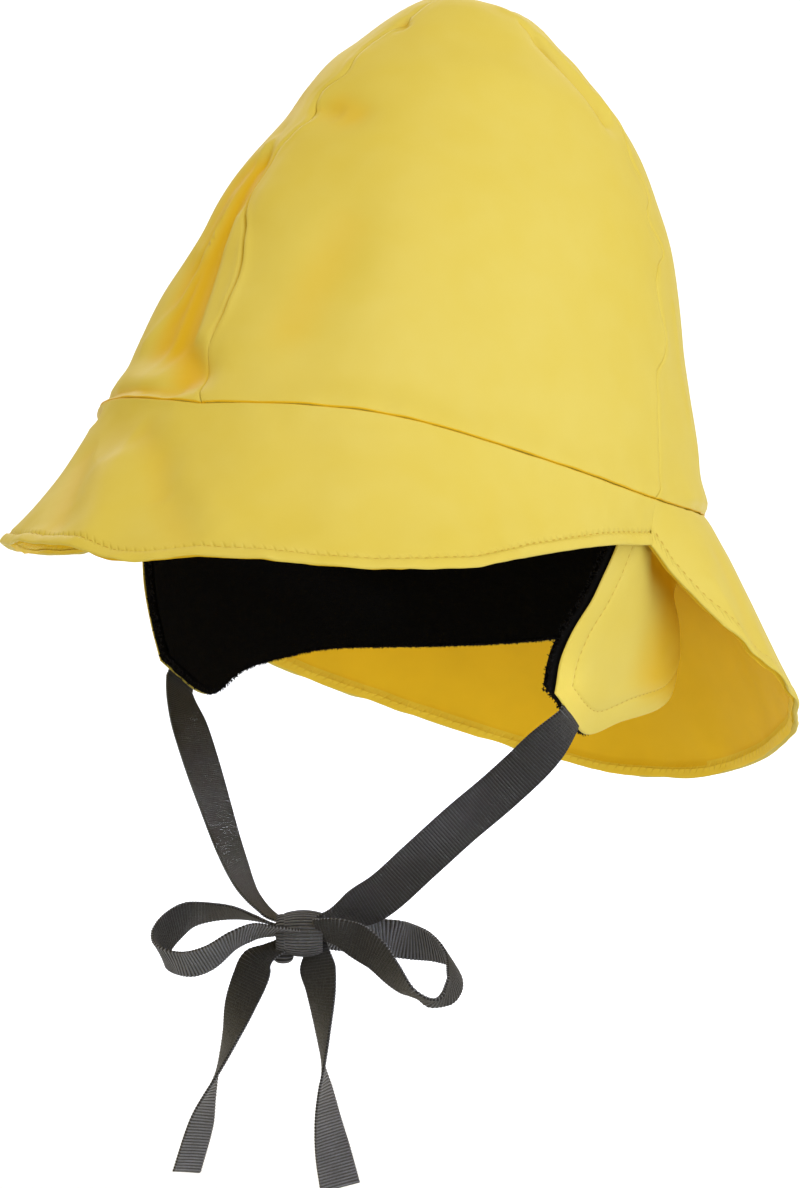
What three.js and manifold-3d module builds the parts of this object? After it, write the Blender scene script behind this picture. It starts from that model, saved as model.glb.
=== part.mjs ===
// A child's sou'wester rain hat of coated cloth: a tall crown of four gores, a short front brim,
// a long flared brim over the neck, and a fleece-lined band whose two ends hang as ear flaps.
// A grosgrain chin strap is sewn to the flaps and tied in a bow.
// Millimetres, +Z up. The front of the hat faces -Y, and +X is the wearer's left.
// The origin is the middle of the head opening, level with the seam between crown and brim.
// The hat sits pushed back on the head, so its own axes lean back from the vertical.
// The straps hang plumb, so their tables are in the upright axes.

import * as THREE from 'three';
import { mergeVertices } from 'three/addons/utils/BufferGeometryUtils.js';
import Module from 'manifold-3d';

const wasm = await Module();
wasm.setup();

// Driving dimensions, in millimetres and degrees
const HALF_WIDTH = 83;
const HALF_LENGTH = 100;
const CROWN_HEIGHT = 137;
const BACKWARD_TILT = 12.4;
const SIDEWAYS_TILT = 1.5;
const SIDE_SEAM = 93;
const CLOTH = 1.4;
const FLEECE = 3;
const GAP = 0.3;
const BAND_RISE = -0.5;
const BAND_FRONT = 87;
const BAND_TAPER = 12;
const FLAP_DEPTH = 72;
const STRAP_REAR = 99;
const STRAP_TUCK = 1;
const RIBBON_WIDTH = 12;
const RIBBON_THICKNESS = 1;
const TIP_RADIUS = 0.7;
const FRONT_FLARE = 1.3;
const BACK_FLARE = 1;

// Where the shape of the ear flaps begins and where it is complete, as angles from the front
const FLAP_LEAN = { from: 120, to: 87 };
const FLAP_TAPER = { from: 130, to: 100 };

// The share of the crown's climb over which folds begin, so that the seam keeps its line
const FOLD_START = 0.04;

// Columns and rows of facets on each kind of piece
const FACETS = {
  frontGore: { columns: 15, rows: 16 },
  backGore: { columns: 11, rows: 16 },
  frontBrim: { columns: 36, rows: 4 },
  backBrim: { columns: 44, rows: 6 },
  band: { columns: 44, rows: 7 },
  ribbon: { columns: 2, rowsPerTableRow: 2 },
  knot: { across: 6, deep: 5 },
};

// The bow's knot: its middle, the half sizes of its outline, and the way it faces
const KNOT = { x: 5.3, y: -57.8, z: -129.5, halfWidth: 6, halfDepth: 4.5, halfHeight: 5.4, turn: 35 };

// Colours from the photo
const YELLOW = 0xe3c954;
const FLEECE_BLACK = 0x161616;
const RIBBON_BLACK = 0x2b2b2b;

// The seam between crown and brim: how far it sags below a flat ring, by angle from the front
const SEAM_SAG = [
  { angle: 0, sag: 2.5 },
  { angle: 35, sag: 0 },
  { angle: 65, sag: 3.5 },
  { angle: 93, sag: 5 },
  { angle: 130, sag: 0.5 },
  { angle: 180, sag: 0 },
];

// The crown from its seam to its tip: how wide it is, how high, and how far its middle lies back
const CROWN_OUTLINE = [
  { ratio: 1, height: 0, back: 0 },
  { ratio: 0.955, height: 0.07, back: 2.5 },
  { ratio: 0.93, height: 0.14, back: 3 },
  { ratio: 0.88, height: 0.25, back: 3 },
  { ratio: 0.83, height: 0.36, back: 3.5 },
  { ratio: 0.785, height: 0.46, back: 4 },
  { ratio: 0.723, height: 0.57, back: 6 },
  { ratio: 0.62, height: 0.7, back: 7.5 },
  { ratio: 0.535, height: 0.79, back: 7 },
  { ratio: 0.43, height: 0.86, back: 5.5 },
  { ratio: 0.335, height: 0.92, back: 4 },
  { ratio: 0.25, height: 0.965, back: 3 },
  { ratio: 0.16, height: 0.993, back: 2 },
  { ratio: TIP_RADIUS / HALF_WIDTH, height: 1, back: 1 },
];

// The seams up the crown: the angle of each by height, as a share of the crown's height
const CROWN_SEAMS = [
  { height: 0, front: 0, side: 93 },
  { height: 0.15, front: -1, side: 96 },
  { height: 0.3, front: -3, side: 99 },
  { height: 0.45, front: -8, side: 103 },
  { height: 0.6, front: -10, side: 106 },
  { height: 0.75, front: -8, side: 103 },
  { height: 0.9, front: -2, side: 97 },
  { height: 1, front: 0, side: 93 },
];

// Folds and dents in the crown, each a soft groove between two places; a negative depth is a ridge
const CROWN_FOLDS = [
  { angle: -16, height: 0.5, toAngle: -6, toHeight: 0.06, width: 8, depth: 4.5 },
  { angle: -25, height: 0.6, toAngle: -28, toHeight: 0.22, width: 8, depth: -2.5 },
  { angle: -32, height: 0.03, toAngle: -15, toHeight: 0.06, width: 9, depth: -2.5 },
  { angle: -2, height: 0.67, toAngle: 6, toHeight: 0.65, width: 7, depth: 2 },
  { angle: 19, height: 0.38, toAngle: 13, toHeight: 0.17, width: 11, depth: 1.5 },
  { angle: 70, height: 0.91, toAngle: 89, toHeight: 0.77, width: 6, depth: 2.5 },
];

// The front brim: how far its edge stands out from the seam and drops below it
const FRONT_BRIM = [
  { angle: -93, out: 0, drop: 13 },
  { angle: -80, out: 4, drop: 24 },
  { angle: -70, out: 7.5, drop: 33 },
  { angle: -50, out: 17, drop: 41 },
  { angle: -30, out: 23.5, drop: 45 },
  { angle: 0, out: 27.5, drop: 47 },
  { angle: 35, out: 25.5, drop: 44.5 },
  { angle: 50, out: 19.5, drop: 37.5 },
  { angle: 62, out: 10.5, drop: 28 },
  { angle: 80, out: 3, drop: 17.5 },
  { angle: 93, out: 0, drop: 13 },
];

// The back brim, alike on both sides of the middle of the back
const BACK_BRIM = [
  { angle: 93, out: 0, drop: 13 },
  { angle: 98, out: 6, drop: 20 },
  { angle: 105, out: 18, drop: 31 },
  { angle: 116, out: 30, drop: 43 },
  { angle: 135, out: 37, drop: 55 },
  { angle: 154, out: 42, drop: 62 },
  { angle: 168, out: 45, drop: 68 },
  { angle: 180, out: 46, drop: 70 },
];

// The band and its ear flaps: how far the lower edge hangs below a flat ring on each side
const BAND_HANG = [
  { angle: 87, left: 64, right: 64 },
  { angle: 99, left: 72.5, right: 70.5 },
  { angle: 108, left: 66, right: 61.5 },
  { angle: 118, left: 60, right: 54 },
  { angle: 130, left: 51, right: 47.5 },
  { angle: 150, left: 43, right: 42 },
  { angle: 180, left: 36, right: 36 },
];

// The front edge of an ear flap: how far it leans forward, by depth below a flat ring
const FLAP_FRONT = [
  { depth: 0, forward: 6 },
  { depth: 23, forward: 9.5 },
  { depth: 43, forward: 13 },
  { depth: 53, forward: 13.5 },
  { depth: 64, forward: 11 },
  { depth: 75, forward: 8 },
];

// Ribbon tables: x, y and z of the middle line, and the heading and slope of the way across.
// A width is given only where the ribbon is gathered into the knot.

const STRAP_LEFT = [
  { x: 61, y: -24.5, z: -80, turn: 45, rise: -43 },
  { x: 52.5, y: -30, z: -89.5, turn: 32, rise: -47 },
  { x: 43.5, y: -35.5, z: -98.5, turn: 32, rise: -48 },
  { x: 34, y: -42, z: -109, turn: 31, rise: -49 },
  { x: 25.5, y: -47, z: -118, turn: 32, rise: -43 },
  { x: 19, y: -50.5, z: -122.5, turn: 60, rise: -40 },
  { x: 13, y: -53, z: -125.2, turn: 90, rise: -32, width: 8.5 },
  { x: 8, y: -56, z: -127.5, turn: 95, rise: -28, width: 8 },
];

const STRAP_RIGHT = [
  { x: -60.5, y: -25, z: -74.5, turn: 40, rise: -22 },
  { x: -51.5, y: -31.5, z: -84, turn: 35, rise: -4 },
  { x: -38.5, y: -39, z: -97, turn: 36, rise: 8 },
  { x: -24.5, y: -46, z: -111, turn: 85, rise: 4 },
  { x: -14.5, y: -52, z: -119, turn: 107, rise: 2 },
  { x: -4, y: -56.5, z: -124.5, turn: 117, rise: 0 },
  { x: 2, y: -58, z: -126.5, turn: 118, rise: 0, width: 9 },
];

const LOOP_RIGHT = [
  { x: 2, y: -56.5, z: -129, turn: 120, rise: -6, width: 9 },
  { x: -2.5, y: -58, z: -128, turn: 120, rise: -8 },
  { x: -9, y: -58.5, z: -126.5, turn: 118, rise: -14 },
  { x: -16, y: -61, z: -125, turn: 114, rise: -24 },
  { x: -22, y: -64, z: -125, turn: 108, rise: -29 },
  { x: -26.5, y: -68.5, z: -126, turn: 102, rise: -33 },
  { x: -28.5, y: -74, z: -129, turn: 100, rise: -38 },
  { x: -28, y: -79.5, z: -132.5, turn: 102, rise: -41 },
  { x: -25.5, y: -82.5, z: -135, turn: 106, rise: -41 },
  { x: -21, y: -83.5, z: -136.5, turn: 107, rise: -41 },
  { x: -16, y: -82, z: -137, turn: 109, rise: -40 },
  { x: -11, y: -79, z: -135, turn: 112, rise: -36 },
  { x: -6.5, y: -74, z: -130.5, turn: 114, rise: -26 },
  { x: -3, y: -69, z: -128.5, turn: 116, rise: -25 },
  { x: 1, y: -64.5, z: -128.5, turn: 118, rise: -18 },
  { x: 4.5, y: -60, z: -129, turn: 120, rise: -14 },
];

const LOOP_LEFT = [
  { x: 7, y: -53.5, z: -131.5, turn: 122, rise: -30, width: 8 },
  { x: 10, y: -47, z: -132, turn: 122, rise: -37, width: 10 },
  { x: 14.5, y: -41.5, z: -131.5, turn: 120, rise: -54 },
  { x: 21, y: -39, z: -131.5, turn: 122, rise: -64 },
  { x: 26, y: -35.5, z: -132.5, turn: 122, rise: -64 },
  { x: 32, y: -34, z: -133.5, turn: 118, rise: -50 },
  { x: 37.5, y: -34, z: -135.5, turn: 108, rise: -37 },
  { x: 41, y: -35, z: -138.5, turn: 104, rise: -29 },
  { x: 43, y: -37.5, z: -141.5, turn: 102, rise: -25 },
  { x: 43.5, y: -41, z: -144.5, turn: 106, rise: -22 },
  { x: 42, y: -45, z: -146.5, turn: 114, rise: -16 },
  { x: 40, y: -48.5, z: -146, turn: 125, rise: -11 },
  { x: 37.5, y: -51.5, z: -144, turn: 133, rise: -17 },
  { x: 33, y: -53, z: -139.5, turn: 143, rise: -32 },
  { x: 27.5, y: -54, z: -134, turn: 155, rise: -38 },
  { x: 21.5, y: -55, z: -130.5, turn: 160, rise: -44 },
  { x: 17, y: -57, z: -128.5, turn: 158, rise: -41, width: 10 },
  { x: 10.5, y: -59, z: -128, turn: 155, rise: -36, width: 8 },
];

const TAIL_RIGHT = [
  { x: 3, y: -59, z: -131.5, turn: -45, rise: -16, width: 7 },
  { x: -2, y: -63, z: -134.5, turn: -32, rise: -15, width: 9 },
  { x: -4.5, y: -65.5, z: -137, turn: -12, rise: -10 },
  { x: -6, y: -67, z: -142, turn: 0, rise: 0 },
  { x: -8, y: -69, z: -149, turn: -9, rise: 2 },
  { x: -10, y: -71, z: -158, turn: -32, rise: 3 },
  { x: -13, y: -73.5, z: -169, turn: -55, rise: 3 },
  { x: -14.5, y: -75, z: -175, turn: -70, rise: 3 },
  { x: -16, y: -77, z: -183, turn: -88, rise: 2 },
  { x: -19, y: -79.5, z: -196, turn: -92, rise: 3 },
];

const TAIL_LEFT = [
  { x: 8, y: -55.5, z: -131, turn: 15, rise: 4, width: 6 },
  { x: 9, y: -56, z: -134.5, turn: 6, rise: 5, width: 8 },
  { x: 10, y: -57, z: -139, turn: 0, rise: 6 },
  { x: 11, y: -57, z: -145, turn: -12, rise: 6 },
  { x: 11.5, y: -57, z: -154, turn: -31, rise: 5 },
  { x: 12, y: -57, z: -167, turn: -55, rise: 3 },
  { x: 12.5, y: -57, z: -173, turn: -71, rise: 3 },
  { x: 13.5, y: -57, z: -182, turn: -90, rise: 2 },
  { x: 15, y: -56.5, z: -191, turn: -108, rise: 1 },
  { x: 17, y: -56, z: -200, turn: -120, rise: -2 },
];

const rad = THREE.MathUtils.degToRad;
const mix = THREE.MathUtils.lerp;

// How the hat sits on the head: pushed back, and a little lower on the wearer's left
const HAT_TURN = new THREE.Euler(-rad(BACKWARD_TILT), rad(SIDEWAYS_TILT), 0, 'YXZ');

// Reads a column of a table at any value of its key, along a smooth curve through the rows
function readTable(rows, key, column, at) {
  const last = rows.length - 2;
  let row = rows.findIndex((next) => next[key] > at) - 1;
  if (row < 0) row = at < rows[0][key] ? 0 : last;
  const slope = (i) => {
    const before = rows[Math.max(0, i - 1)];
    const after = rows[Math.min(rows.length - 1, i + 1)];
    return (after[column] - before[column]) / (after[key] - before[key]);
  };
  const span = rows[row + 1][key] - rows[row][key];
  const t = THREE.MathUtils.clamp((at - rows[row][key]) / span, 0, 1);
  const step = t * t * (3 - 2 * t);
  const start = slope(row) * span * t * (1 - t) * (1 - t);
  const end = slope(row + 1) * span * t * t * (1 - t);
  return mix(rows[row][column], rows[row + 1][column], step) + start - end;
}

// The seam ring, moved out by a distance; the angle is from the front towards the wearer's left
function ringPoint(angle, out) {
  const way = rad(angle);
  const normal = new THREE.Vector3(Math.sin(way) / HALF_WIDTH, -Math.cos(way) / HALF_LENGTH, 0);
  const sag = readTable(SEAM_SAG, 'angle', 'sag', Math.abs(angle));
  return new THREE.Vector3(HALF_WIDTH * Math.sin(way), -HALF_LENGTH * Math.cos(way), -sag)
    .addScaledVector(normal.normalize(), out);
}

const crownCurve = new THREE.CatmullRomCurve3(CROWN_OUTLINE.map((row) => (
  new THREE.Vector3(row.ratio * HALF_WIDTH, row.back, row.height * CROWN_HEIGHT)
)));

// The crown as it would be without its folds
function smoothCrown(angle, section) {
  const ratio = section.x / HALF_WIDTH;
  const ring = ringPoint(angle, 0);
  const sagLeft = (1 - section.z / CROWN_HEIGHT) ** 3;
  return new THREE.Vector3(
    ring.x * ratio,
    ring.y * ratio + section.y,
    section.z + ring.z * sagLeft + GAP / 2,
  );
}

function crownPlace(angle, height) {
  const section = new THREE.Vector3(
    readTable(CROWN_OUTLINE, 'height', 'ratio', height) * HALF_WIDTH,
    readTable(CROWN_OUTLINE, 'height', 'back', height),
    height * CROWN_HEIGHT,
  );
  return smoothCrown(angle, section);
}

const foldLines = CROWN_FOLDS.map((fold) => new THREE.Line3(
  crownPlace(fold.angle, fold.height),
  crownPlace(fold.toAngle, fold.toHeight),
));

// A crown point; climb is 0 at the seam with the brim and 1 at the tip
function crownPoint(angle, climb) {
  const section = crownCurve.getPointAt(climb);
  const point = smoothCrown(angle, section);
  const nearest = new THREE.Vector3();
  let inwards = 0;
  CROWN_FOLDS.forEach((fold, i) => {
    foldLines[i].closestPointToPoint(point, true, nearest);
    inwards += fold.depth * Math.exp(-((nearest.distanceTo(point) / fold.width) ** 2));
  });
  const hold = THREE.MathUtils.smoothstep(climb, 0, FOLD_START);
  const radius = Math.hypot(point.x, point.y - section.y);
  const kept = 1 - (inwards * hold) / radius;
  return new THREE.Vector3(point.x * kept, (point.y - section.y) * kept + section.y, point.z);
}

// A brim point: climb is 0 at the outer edge and 1 at the seam
function brimPoint(rows, flare, angle, key, climb) {
  const away = 1 - climb;
  const out = readTable(rows, 'angle', 'out', key) * away ** flare;
  const drop = readTable(rows, 'angle', 'drop', key) * away;
  const point = ringPoint(angle, out);
  point.z -= drop + GAP / 2;
  return point;
}

// 0 before a range of angles begins and 1 past its end, where the angles run down to the front
function fade(range, angle) {
  return THREE.MathUtils.smoothstep(range.from - angle, 0, range.from - range.to);
}

// A band point, inset from the outer face; climb is 0 at the lower edge and 1 at the top
function bandPoint(angle, climb, inset) {
  const side = Math.sign(angle);
  const around = Math.abs(angle);
  const flap = fade(FLAP_LEAN, around);
  const lean = fade(FLAP_TAPER, around);
  const hang = readTable(BAND_HANG, 'angle', side > 0 ? 'left' : 'right', around);
  const top = ringPoint(angle, 0).z + BAND_RISE;
  const z = mix(-hang, top, climb);
  const depth = Math.max(0, -z);
  const forward = readTable(FLAP_FRONT, 'depth', 'forward', depth) * flap;
  const turned = angle - side * THREE.MathUtils.radToDeg(forward / HALF_LENGTH);
  const taper = BAND_TAPER * lean * (depth / FLAP_DEPTH) ** 2;
  const point = ringPoint(turned, -(CLOTH + GAP + taper + inset));
  point.z = z;
  return point;
}

// Wraps a thin slab on a surface: u and v run 0 to 1, and u crossed with v points outwards.
// The edges at the v values given as level are cut level, so that they meet a neighbour squarely.
function slab(surface, thickness, { columns, rows }, { outwards = 0, level = [] } = {}) {
  const box = new THREE.BoxGeometry(1, 1, 1, columns, rows, 1);
  box.deleteAttribute('normal');
  box.deleteAttribute('uv');
  const geometry = mergeVertices(box);
  const places = geometry.attributes.position;
  const step = 1e-3;
  for (let i = 0; i < places.count; i += 1) {
    const u = places.getX(i) + 0.5;
    const v = places.getY(i) + 0.5;
    const across = surface(Math.min(1, u + step), v).sub(surface(Math.max(0, u - step), v));
    const up = surface(u, Math.min(1, v + step)).sub(surface(u, Math.max(0, v - step)));
    const normal = across.cross(up);
    if (level.includes(v)) normal.z = 0;
    normal.normalize();
    const lift = thickness * (places.getZ(i) - 0.5 + outwards);
    const point = surface(u, v).addScaledVector(normal, lift);
    places.setXYZ(i, point.x, point.y, point.z);
  }
  return geometry;
}

function material(color, roughness) {
  return new THREE.MeshStandardMaterial({ color, roughness, metalness: 0, flatShading: false });
}

const coatedCloth = material(YELLOW, 0.45);
const fleece = material(FLEECE_BLACK, 1);
const grosgrain = material(RIBBON_BLACK, 0.85);

function piece(name, geometry, look) {
  const mesh = new THREE.Mesh(geometry, look);
  mesh.name = name;
  return mesh;
}

// The angle of a crown seam, given its column and side, or of the straight seam at the back
function seamAngle(seam, height) {
  if (seam.column === 'back') return seam.side * 180;
  return seam.side * readTable(CROWN_SEAMS, 'height', seam.column, height);
}

// A gore between two seams, held back by half the gap at each
function crownGore(name, from, to, facets) {
  const surface = (u, v) => {
    const section = crownCurve.getPointAt(v);
    const height = section.z / CROWN_HEIGHT;
    const margin = THREE.MathUtils.radToDeg(GAP / 2 / Math.max(TIP_RADIUS, section.x));
    const start = seamAngle(from, height) + margin;
    return crownPoint(mix(start, seamAngle(to, height) - margin, u), v);
  };
  return piece(name, slab(surface, CLOTH, facets, { level: [0] }), coatedCloth);
}

function frontBrim() {
  const end = SIDE_SEAM - THREE.MathUtils.radToDeg(GAP / 2 / HALF_WIDTH);
  const surface = (u, v) => brimPoint(FRONT_BRIM, FRONT_FLARE, mix(-end, end, u), mix(-end, end, u), v);
  return piece('front_brim', slab(surface, CLOTH, FACETS.frontBrim, { level: [1] }), coatedCloth);
}

function backBrim() {
  const end = SIDE_SEAM + THREE.MathUtils.radToDeg(GAP / 2 / HALF_WIDTH);
  const surface = (u, v) => {
    const angle = mix(end, 360 - end, u);
    const signed = angle > 180 ? angle - 360 : angle;
    return brimPoint(BACK_BRIM, BACK_FLARE, signed, Math.abs(signed), v);
  };
  return piece('back_brim', slab(surface, CLOTH, FACETS.backBrim, { level: [1] }), coatedCloth);
}

// The band runs from flap to flap round the back, with finer steps in the flaps
function bandLayer(inset, thickness, low = 0) {
  const surface = (u, v) => {
    const fromBack = Math.sin((u - 0.5) * Math.PI);
    const angle = 180 + fromBack * (180 - BAND_FRONT);
    return bandPoint(angle > 180 ? angle - 360 : angle, mix(low, 1, v), inset);
  };
  return slab(surface, thickness, FACETS.band, { level: [0, 1] });
}

// A ribbon through the rows of a table; its way across is square to its run
function ribbon(rows) {
  const middle = new THREE.CatmullRomCurve3(rows.map((row) => new THREE.Vector3(row.x, row.y, row.z)));
  const acrossRows = rows.map((row) => new THREE.Vector3(
    Math.cos(rad(row.rise)) * Math.cos(rad(row.turn)),
    Math.cos(rad(row.rise)) * Math.sin(rad(row.turn)),
    Math.sin(rad(row.rise)),
  ));
  const acrossCurve = new THREE.CatmullRomCurve3(acrossRows);
  const widths = rows.map((row) => row.width ?? RIBBON_WIDTH);
  const last = rows.length - 1;
  const surface = (u, v) => {
    const run = middle.getTangent(v);
    const across = acrossCurve.getPoint(v);
    across.addScaledVector(run, -across.dot(run)).normalize();
    const row = Math.floor(v * last);
    const width = mix(widths[row], widths[Math.min(last, row + 1)], v * last - row);
    return middle.getPoint(v).addScaledVector(across, (u - 0.5) * width);
  };
  const facets = { columns: FACETS.ribbon.columns, rows: last * FACETS.ribbon.rowsPerTableRow };
  return slab(surface, RIBBON_THICKNESS, facets, { outwards: 0.5 });
}

// The knot's outline, a rounded block, grown by a margin
function knotBody(margin) {
  const { across, deep } = FACETS.knot;
  const box = new THREE.BoxGeometry(2, 2, 2, across, deep, across);
  box.deleteAttribute('normal');
  box.deleteAttribute('uv');
  const geometry = mergeVertices(box);
  const places = geometry.attributes.position;
  const power = 4;
  for (let i = 0; i < places.count; i += 1) {
    const point = new THREE.Vector3().fromBufferAttribute(places, i);
    const size = (Math.abs(point.x) ** power + Math.abs(point.y) ** power + Math.abs(point.z) ** power)
      ** (1 / power);
    places.setXYZ(
      i,
      (point.x / size) * (KNOT.halfWidth + margin),
      (point.y / size) * (KNOT.halfDepth + margin),
      (point.z / size) * (KNOT.halfHeight + margin),
    );
  }
  geometry.rotateZ(rad(KNOT.turn));
  geometry.translate(KNOT.x, KNOT.y, KNOT.z);
  return geometry;
}

function toSolid(geometry) {
  return new wasm.Manifold(new wasm.Mesh({
    numProp: 3,
    vertProperties: new Float32Array(geometry.attributes.position.array),
    triVerts: new Uint32Array(geometry.index.array),
  }));
}

function fromSolid(solid) {
  const mesh = solid.getMesh();
  const geometry = new THREE.BufferGeometry();
  geometry.setAttribute('position', new THREE.BufferAttribute(mesh.vertProperties, 3));
  geometry.setIndex(new THREE.BufferAttribute(mesh.triVerts, 1));
  return geometry;
}

// The knot, and the two layers of the band, each grown by the gap
const hatMatrix = new THREE.Matrix4().makeRotationFromEuler(HAT_TURN);
const bandCutter = bandLayer(-GAP, CLOTH + FLEECE + 3 * GAP, -GAP / FLAP_DEPTH);
const cutter = toSolid(knotBody(GAP)).add(toSolid(bandCutter.applyMatrix4(hatMatrix)));

// A ribbon whose ends are cut back to the knot and the band
function tiedRibbon(name, rows) {
  return piece(name, fromSolid(toSolid(ribbon(rows)).subtract(cutter)), grosgrain);
}

// The first row of a strap: between the layers of its ear flap, at the cut corner
function strapStart(side) {
  const inset = CLOTH + GAP / 2;
  const front = bandPoint(side * BAND_FRONT, 0, inset);
  const rear = bandPoint(side * STRAP_REAR, 0, inset);
  const up = new THREE.Vector3(0, rear.z - front.z, front.y - rear.y).normalize();
  const start = front.clone().add(rear).multiplyScalar(0.5);
  start.addScaledVector(up, STRAP_TUCK);
  start.applyEuler(HAT_TURN);
  const across = rear.sub(front).applyEuler(HAT_TURN).normalize();
  return {
    x: start.x,
    y: start.y,
    z: start.z,
    turn: THREE.MathUtils.radToDeg(Math.atan2(across.y, across.x)),
    rise: THREE.MathUtils.radToDeg(Math.asin(across.z)),
  };
}

const frontSeam = { column: 'front', side: 1 };
const leftSeam = { column: 'side', side: 1 };
const rightSeam = { column: 'side', side: -1 };
const backLeft = { column: 'back', side: 1 };
const backRight = { column: 'back', side: -1 };

const hat = new THREE.Group();
hat.rotation.copy(HAT_TURN);
hat.add(
  crownGore('crown_front_left', frontSeam, leftSeam, FACETS.frontGore),
  crownGore('crown_back_left', leftSeam, backLeft, FACETS.backGore),
  crownGore('crown_back_right', backRight, rightSeam, FACETS.backGore),
  crownGore('crown_front_right', rightSeam, frontSeam, FACETS.frontGore),
  frontBrim(),
  backBrim(),
  piece('neck_band', bandLayer(0, CLOTH), coatedCloth),
  piece('fleece_lining', bandLayer(CLOTH + GAP, FLEECE), fleece),
);

const part = new THREE.Group();
part.add(
  hat,
  piece('bow_knot', knotBody(0), grosgrain),
  tiedRibbon('strap_left', [strapStart(1), ...STRAP_LEFT]),
  tiedRibbon('strap_right', [strapStart(-1), ...STRAP_RIGHT]),
  tiedRibbon('bow_loop_left', LOOP_LEFT),
  tiedRibbon('bow_loop_right', LOOP_RIGHT),
  tiedRibbon('bow_tail_left', TAIL_LEFT),
  tiedRibbon('bow_tail_right', TAIL_RIGHT),
);

export default part;
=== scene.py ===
import math
import random

import bmesh
import bpy
from bpy.props import FloatProperty, FloatVectorProperty, PointerProperty
from mathutils import Euler, Matrix, Vector, noise


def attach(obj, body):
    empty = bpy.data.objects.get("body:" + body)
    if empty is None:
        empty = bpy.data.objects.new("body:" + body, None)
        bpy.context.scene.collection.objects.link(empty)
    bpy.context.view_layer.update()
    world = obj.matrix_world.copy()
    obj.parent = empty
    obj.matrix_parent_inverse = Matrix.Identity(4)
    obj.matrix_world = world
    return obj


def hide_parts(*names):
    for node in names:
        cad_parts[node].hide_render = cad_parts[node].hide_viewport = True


bl_info = {
    "name": "Rain hat",
    "version": (1, 0, 0),
    "blender": (4, 5, 0),
    "location": "View3D > Sidebar > Rain hat",
    "description": "Sews a child's sou'wester rain hat of coated cloth, with its bow",
    "category": "Object",
}

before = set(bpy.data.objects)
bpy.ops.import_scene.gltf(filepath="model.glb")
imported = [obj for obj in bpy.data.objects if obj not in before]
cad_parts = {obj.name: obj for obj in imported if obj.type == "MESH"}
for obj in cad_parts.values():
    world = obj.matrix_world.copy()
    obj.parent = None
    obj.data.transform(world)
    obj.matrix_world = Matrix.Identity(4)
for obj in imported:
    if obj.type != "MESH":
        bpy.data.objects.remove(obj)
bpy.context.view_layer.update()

# Shape of the hat, in millimetres and degrees; the front faces -Y and +X is the wearer's left
HALF_WIDTH = 83.0
HALF_LENGTH = 100.0
CROWN_HEIGHT = 137.0
SEAM_GAP = 0.15
BAND_RISE = -0.5
BAND_FRONT = 87.0
FLAP_DEPTH = 72.0
STRAP_REAR = 99.0
FRONT_FLARE = 1.3
BACK_FLARE = 0.88
HAT_TURN = Euler((-math.radians(12.4), math.radians(1.5), 0), "XYZ").to_matrix()
STITCH_INSET = 7.0


def table(columns, *rows):
    """A short table with named columns."""
    names = columns.split()
    return [dict(zip(names, row)) for row in rows]


# How far the seam between crown and brim sags below a flat ring
SEAM_SAG = table("angle sag", (0, 2.5), (35, 0), (65, 3.5), (93, 5), (130, 0.5), (180, 0))

# The crown from its seam to its tip
CROWN_OUTLINE = table(
    "ratio height back",
    (1, 0, 0),
    (0.955, 0.07, 2.5),
    (0.93, 0.14, 3),
    (0.88, 0.25, 3),
    (0.83, 0.36, 3.5),
    (0.785, 0.46, 4),
    (0.723, 0.57, 6),
    (0.62, 0.7, 7.5),
    (0.535, 0.79, 7),
    (0.43, 0.86, 5.5),
    (0.335, 0.92, 4),
    (0.25, 0.965, 3),
    (0.16, 0.993, 2),
    (0.0084, 1, 1),
)

# The seams up the crown: each wavers where its stitches gather the cloth
FRONT_SEAM = table(
    "height angle",
    (0, 0.5),
    (0.03, -2),
    (0.11, -5.5),
    (0.2, -4.6),
    (0.3, -5.3),
    (0.38, -9.3),
    (0.45, -13.8),
    (0.51, -13.4),
    (0.57, -13),
    (0.615, -10.3),
    (0.635, -8),
    (0.665, -10.4),
    (0.71, -13),
    (0.755, -7),
    (0.83, -8.5),
    (0.865, -6),
    (0.9, -1),
    (1, 0),
)
SIDE_SEAM = table(
    "height angle",
    (0, 93),
    (0.03, 95),
    (0.14, 95),
    (0.25, 96.7),
    (0.294, 101.3),
    (0.34, 103.4),
    (0.436, 100.7),
    (0.484, 103.2),
    (0.52, 108),
    (0.582, 100.5),
    (0.64, 106),
    (0.714, 100.5),
    (0.79, 103),
    (0.9, 97),
    (1, 93),
)
BACK_SEAM = table("height angle", (0, 180), (1, 180))

# The longest piece of a fold line, in degrees
FOLD_PIECE = 12.0

# Folds and dents in the crown, each a soft groove between two places; a negative depth is a ridge.
# Tint is the share of the depth that deepens the colour as painted shade, and a row without it has all of
# it.
CROWN_FOLDS = table(
    "angle height to_angle to_height width depth tint",
    (-20, 0.52, -18.5, 0.3, 7.5, 3.8),
    (-18.5, 0.3, -16, 0.12, 8.5, 4.0),
    (-16, 0.12, -7, 0.045, 7, 3.6),
    (-25, 0.5, -24.5, 0.3, 6, 2.8),
    (-24.5, 0.3, -22, 0.13, 8.5, 3.4),
    (-37, 0.66, -43, 0.42, 16, 3.0, 0.7),
    (-53, 0.7, -56, 0.44, 20, 6.4, 0.42),
    (-52, 0.93, -53, 0.74, 18, 2.4, 0.6),
    (-62, 0.055, -14, 0.06, 4.4, -0.7),
    (-2, 0.67, 6, 0.65, 7, 2),
    (19, 0.38, 13, 0.17, 11, 1.5),
    (79, 0.91, 92, 0.77, 3.6, 2.4, 0.35),
    (122, 0.95, 126, 0.83, 10, 1.8),
    (116, 0.99, 124, 0.975, 5, -1.5),
    (108, 0.02, 138, 0.045, 6, -1.2),
)

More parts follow.
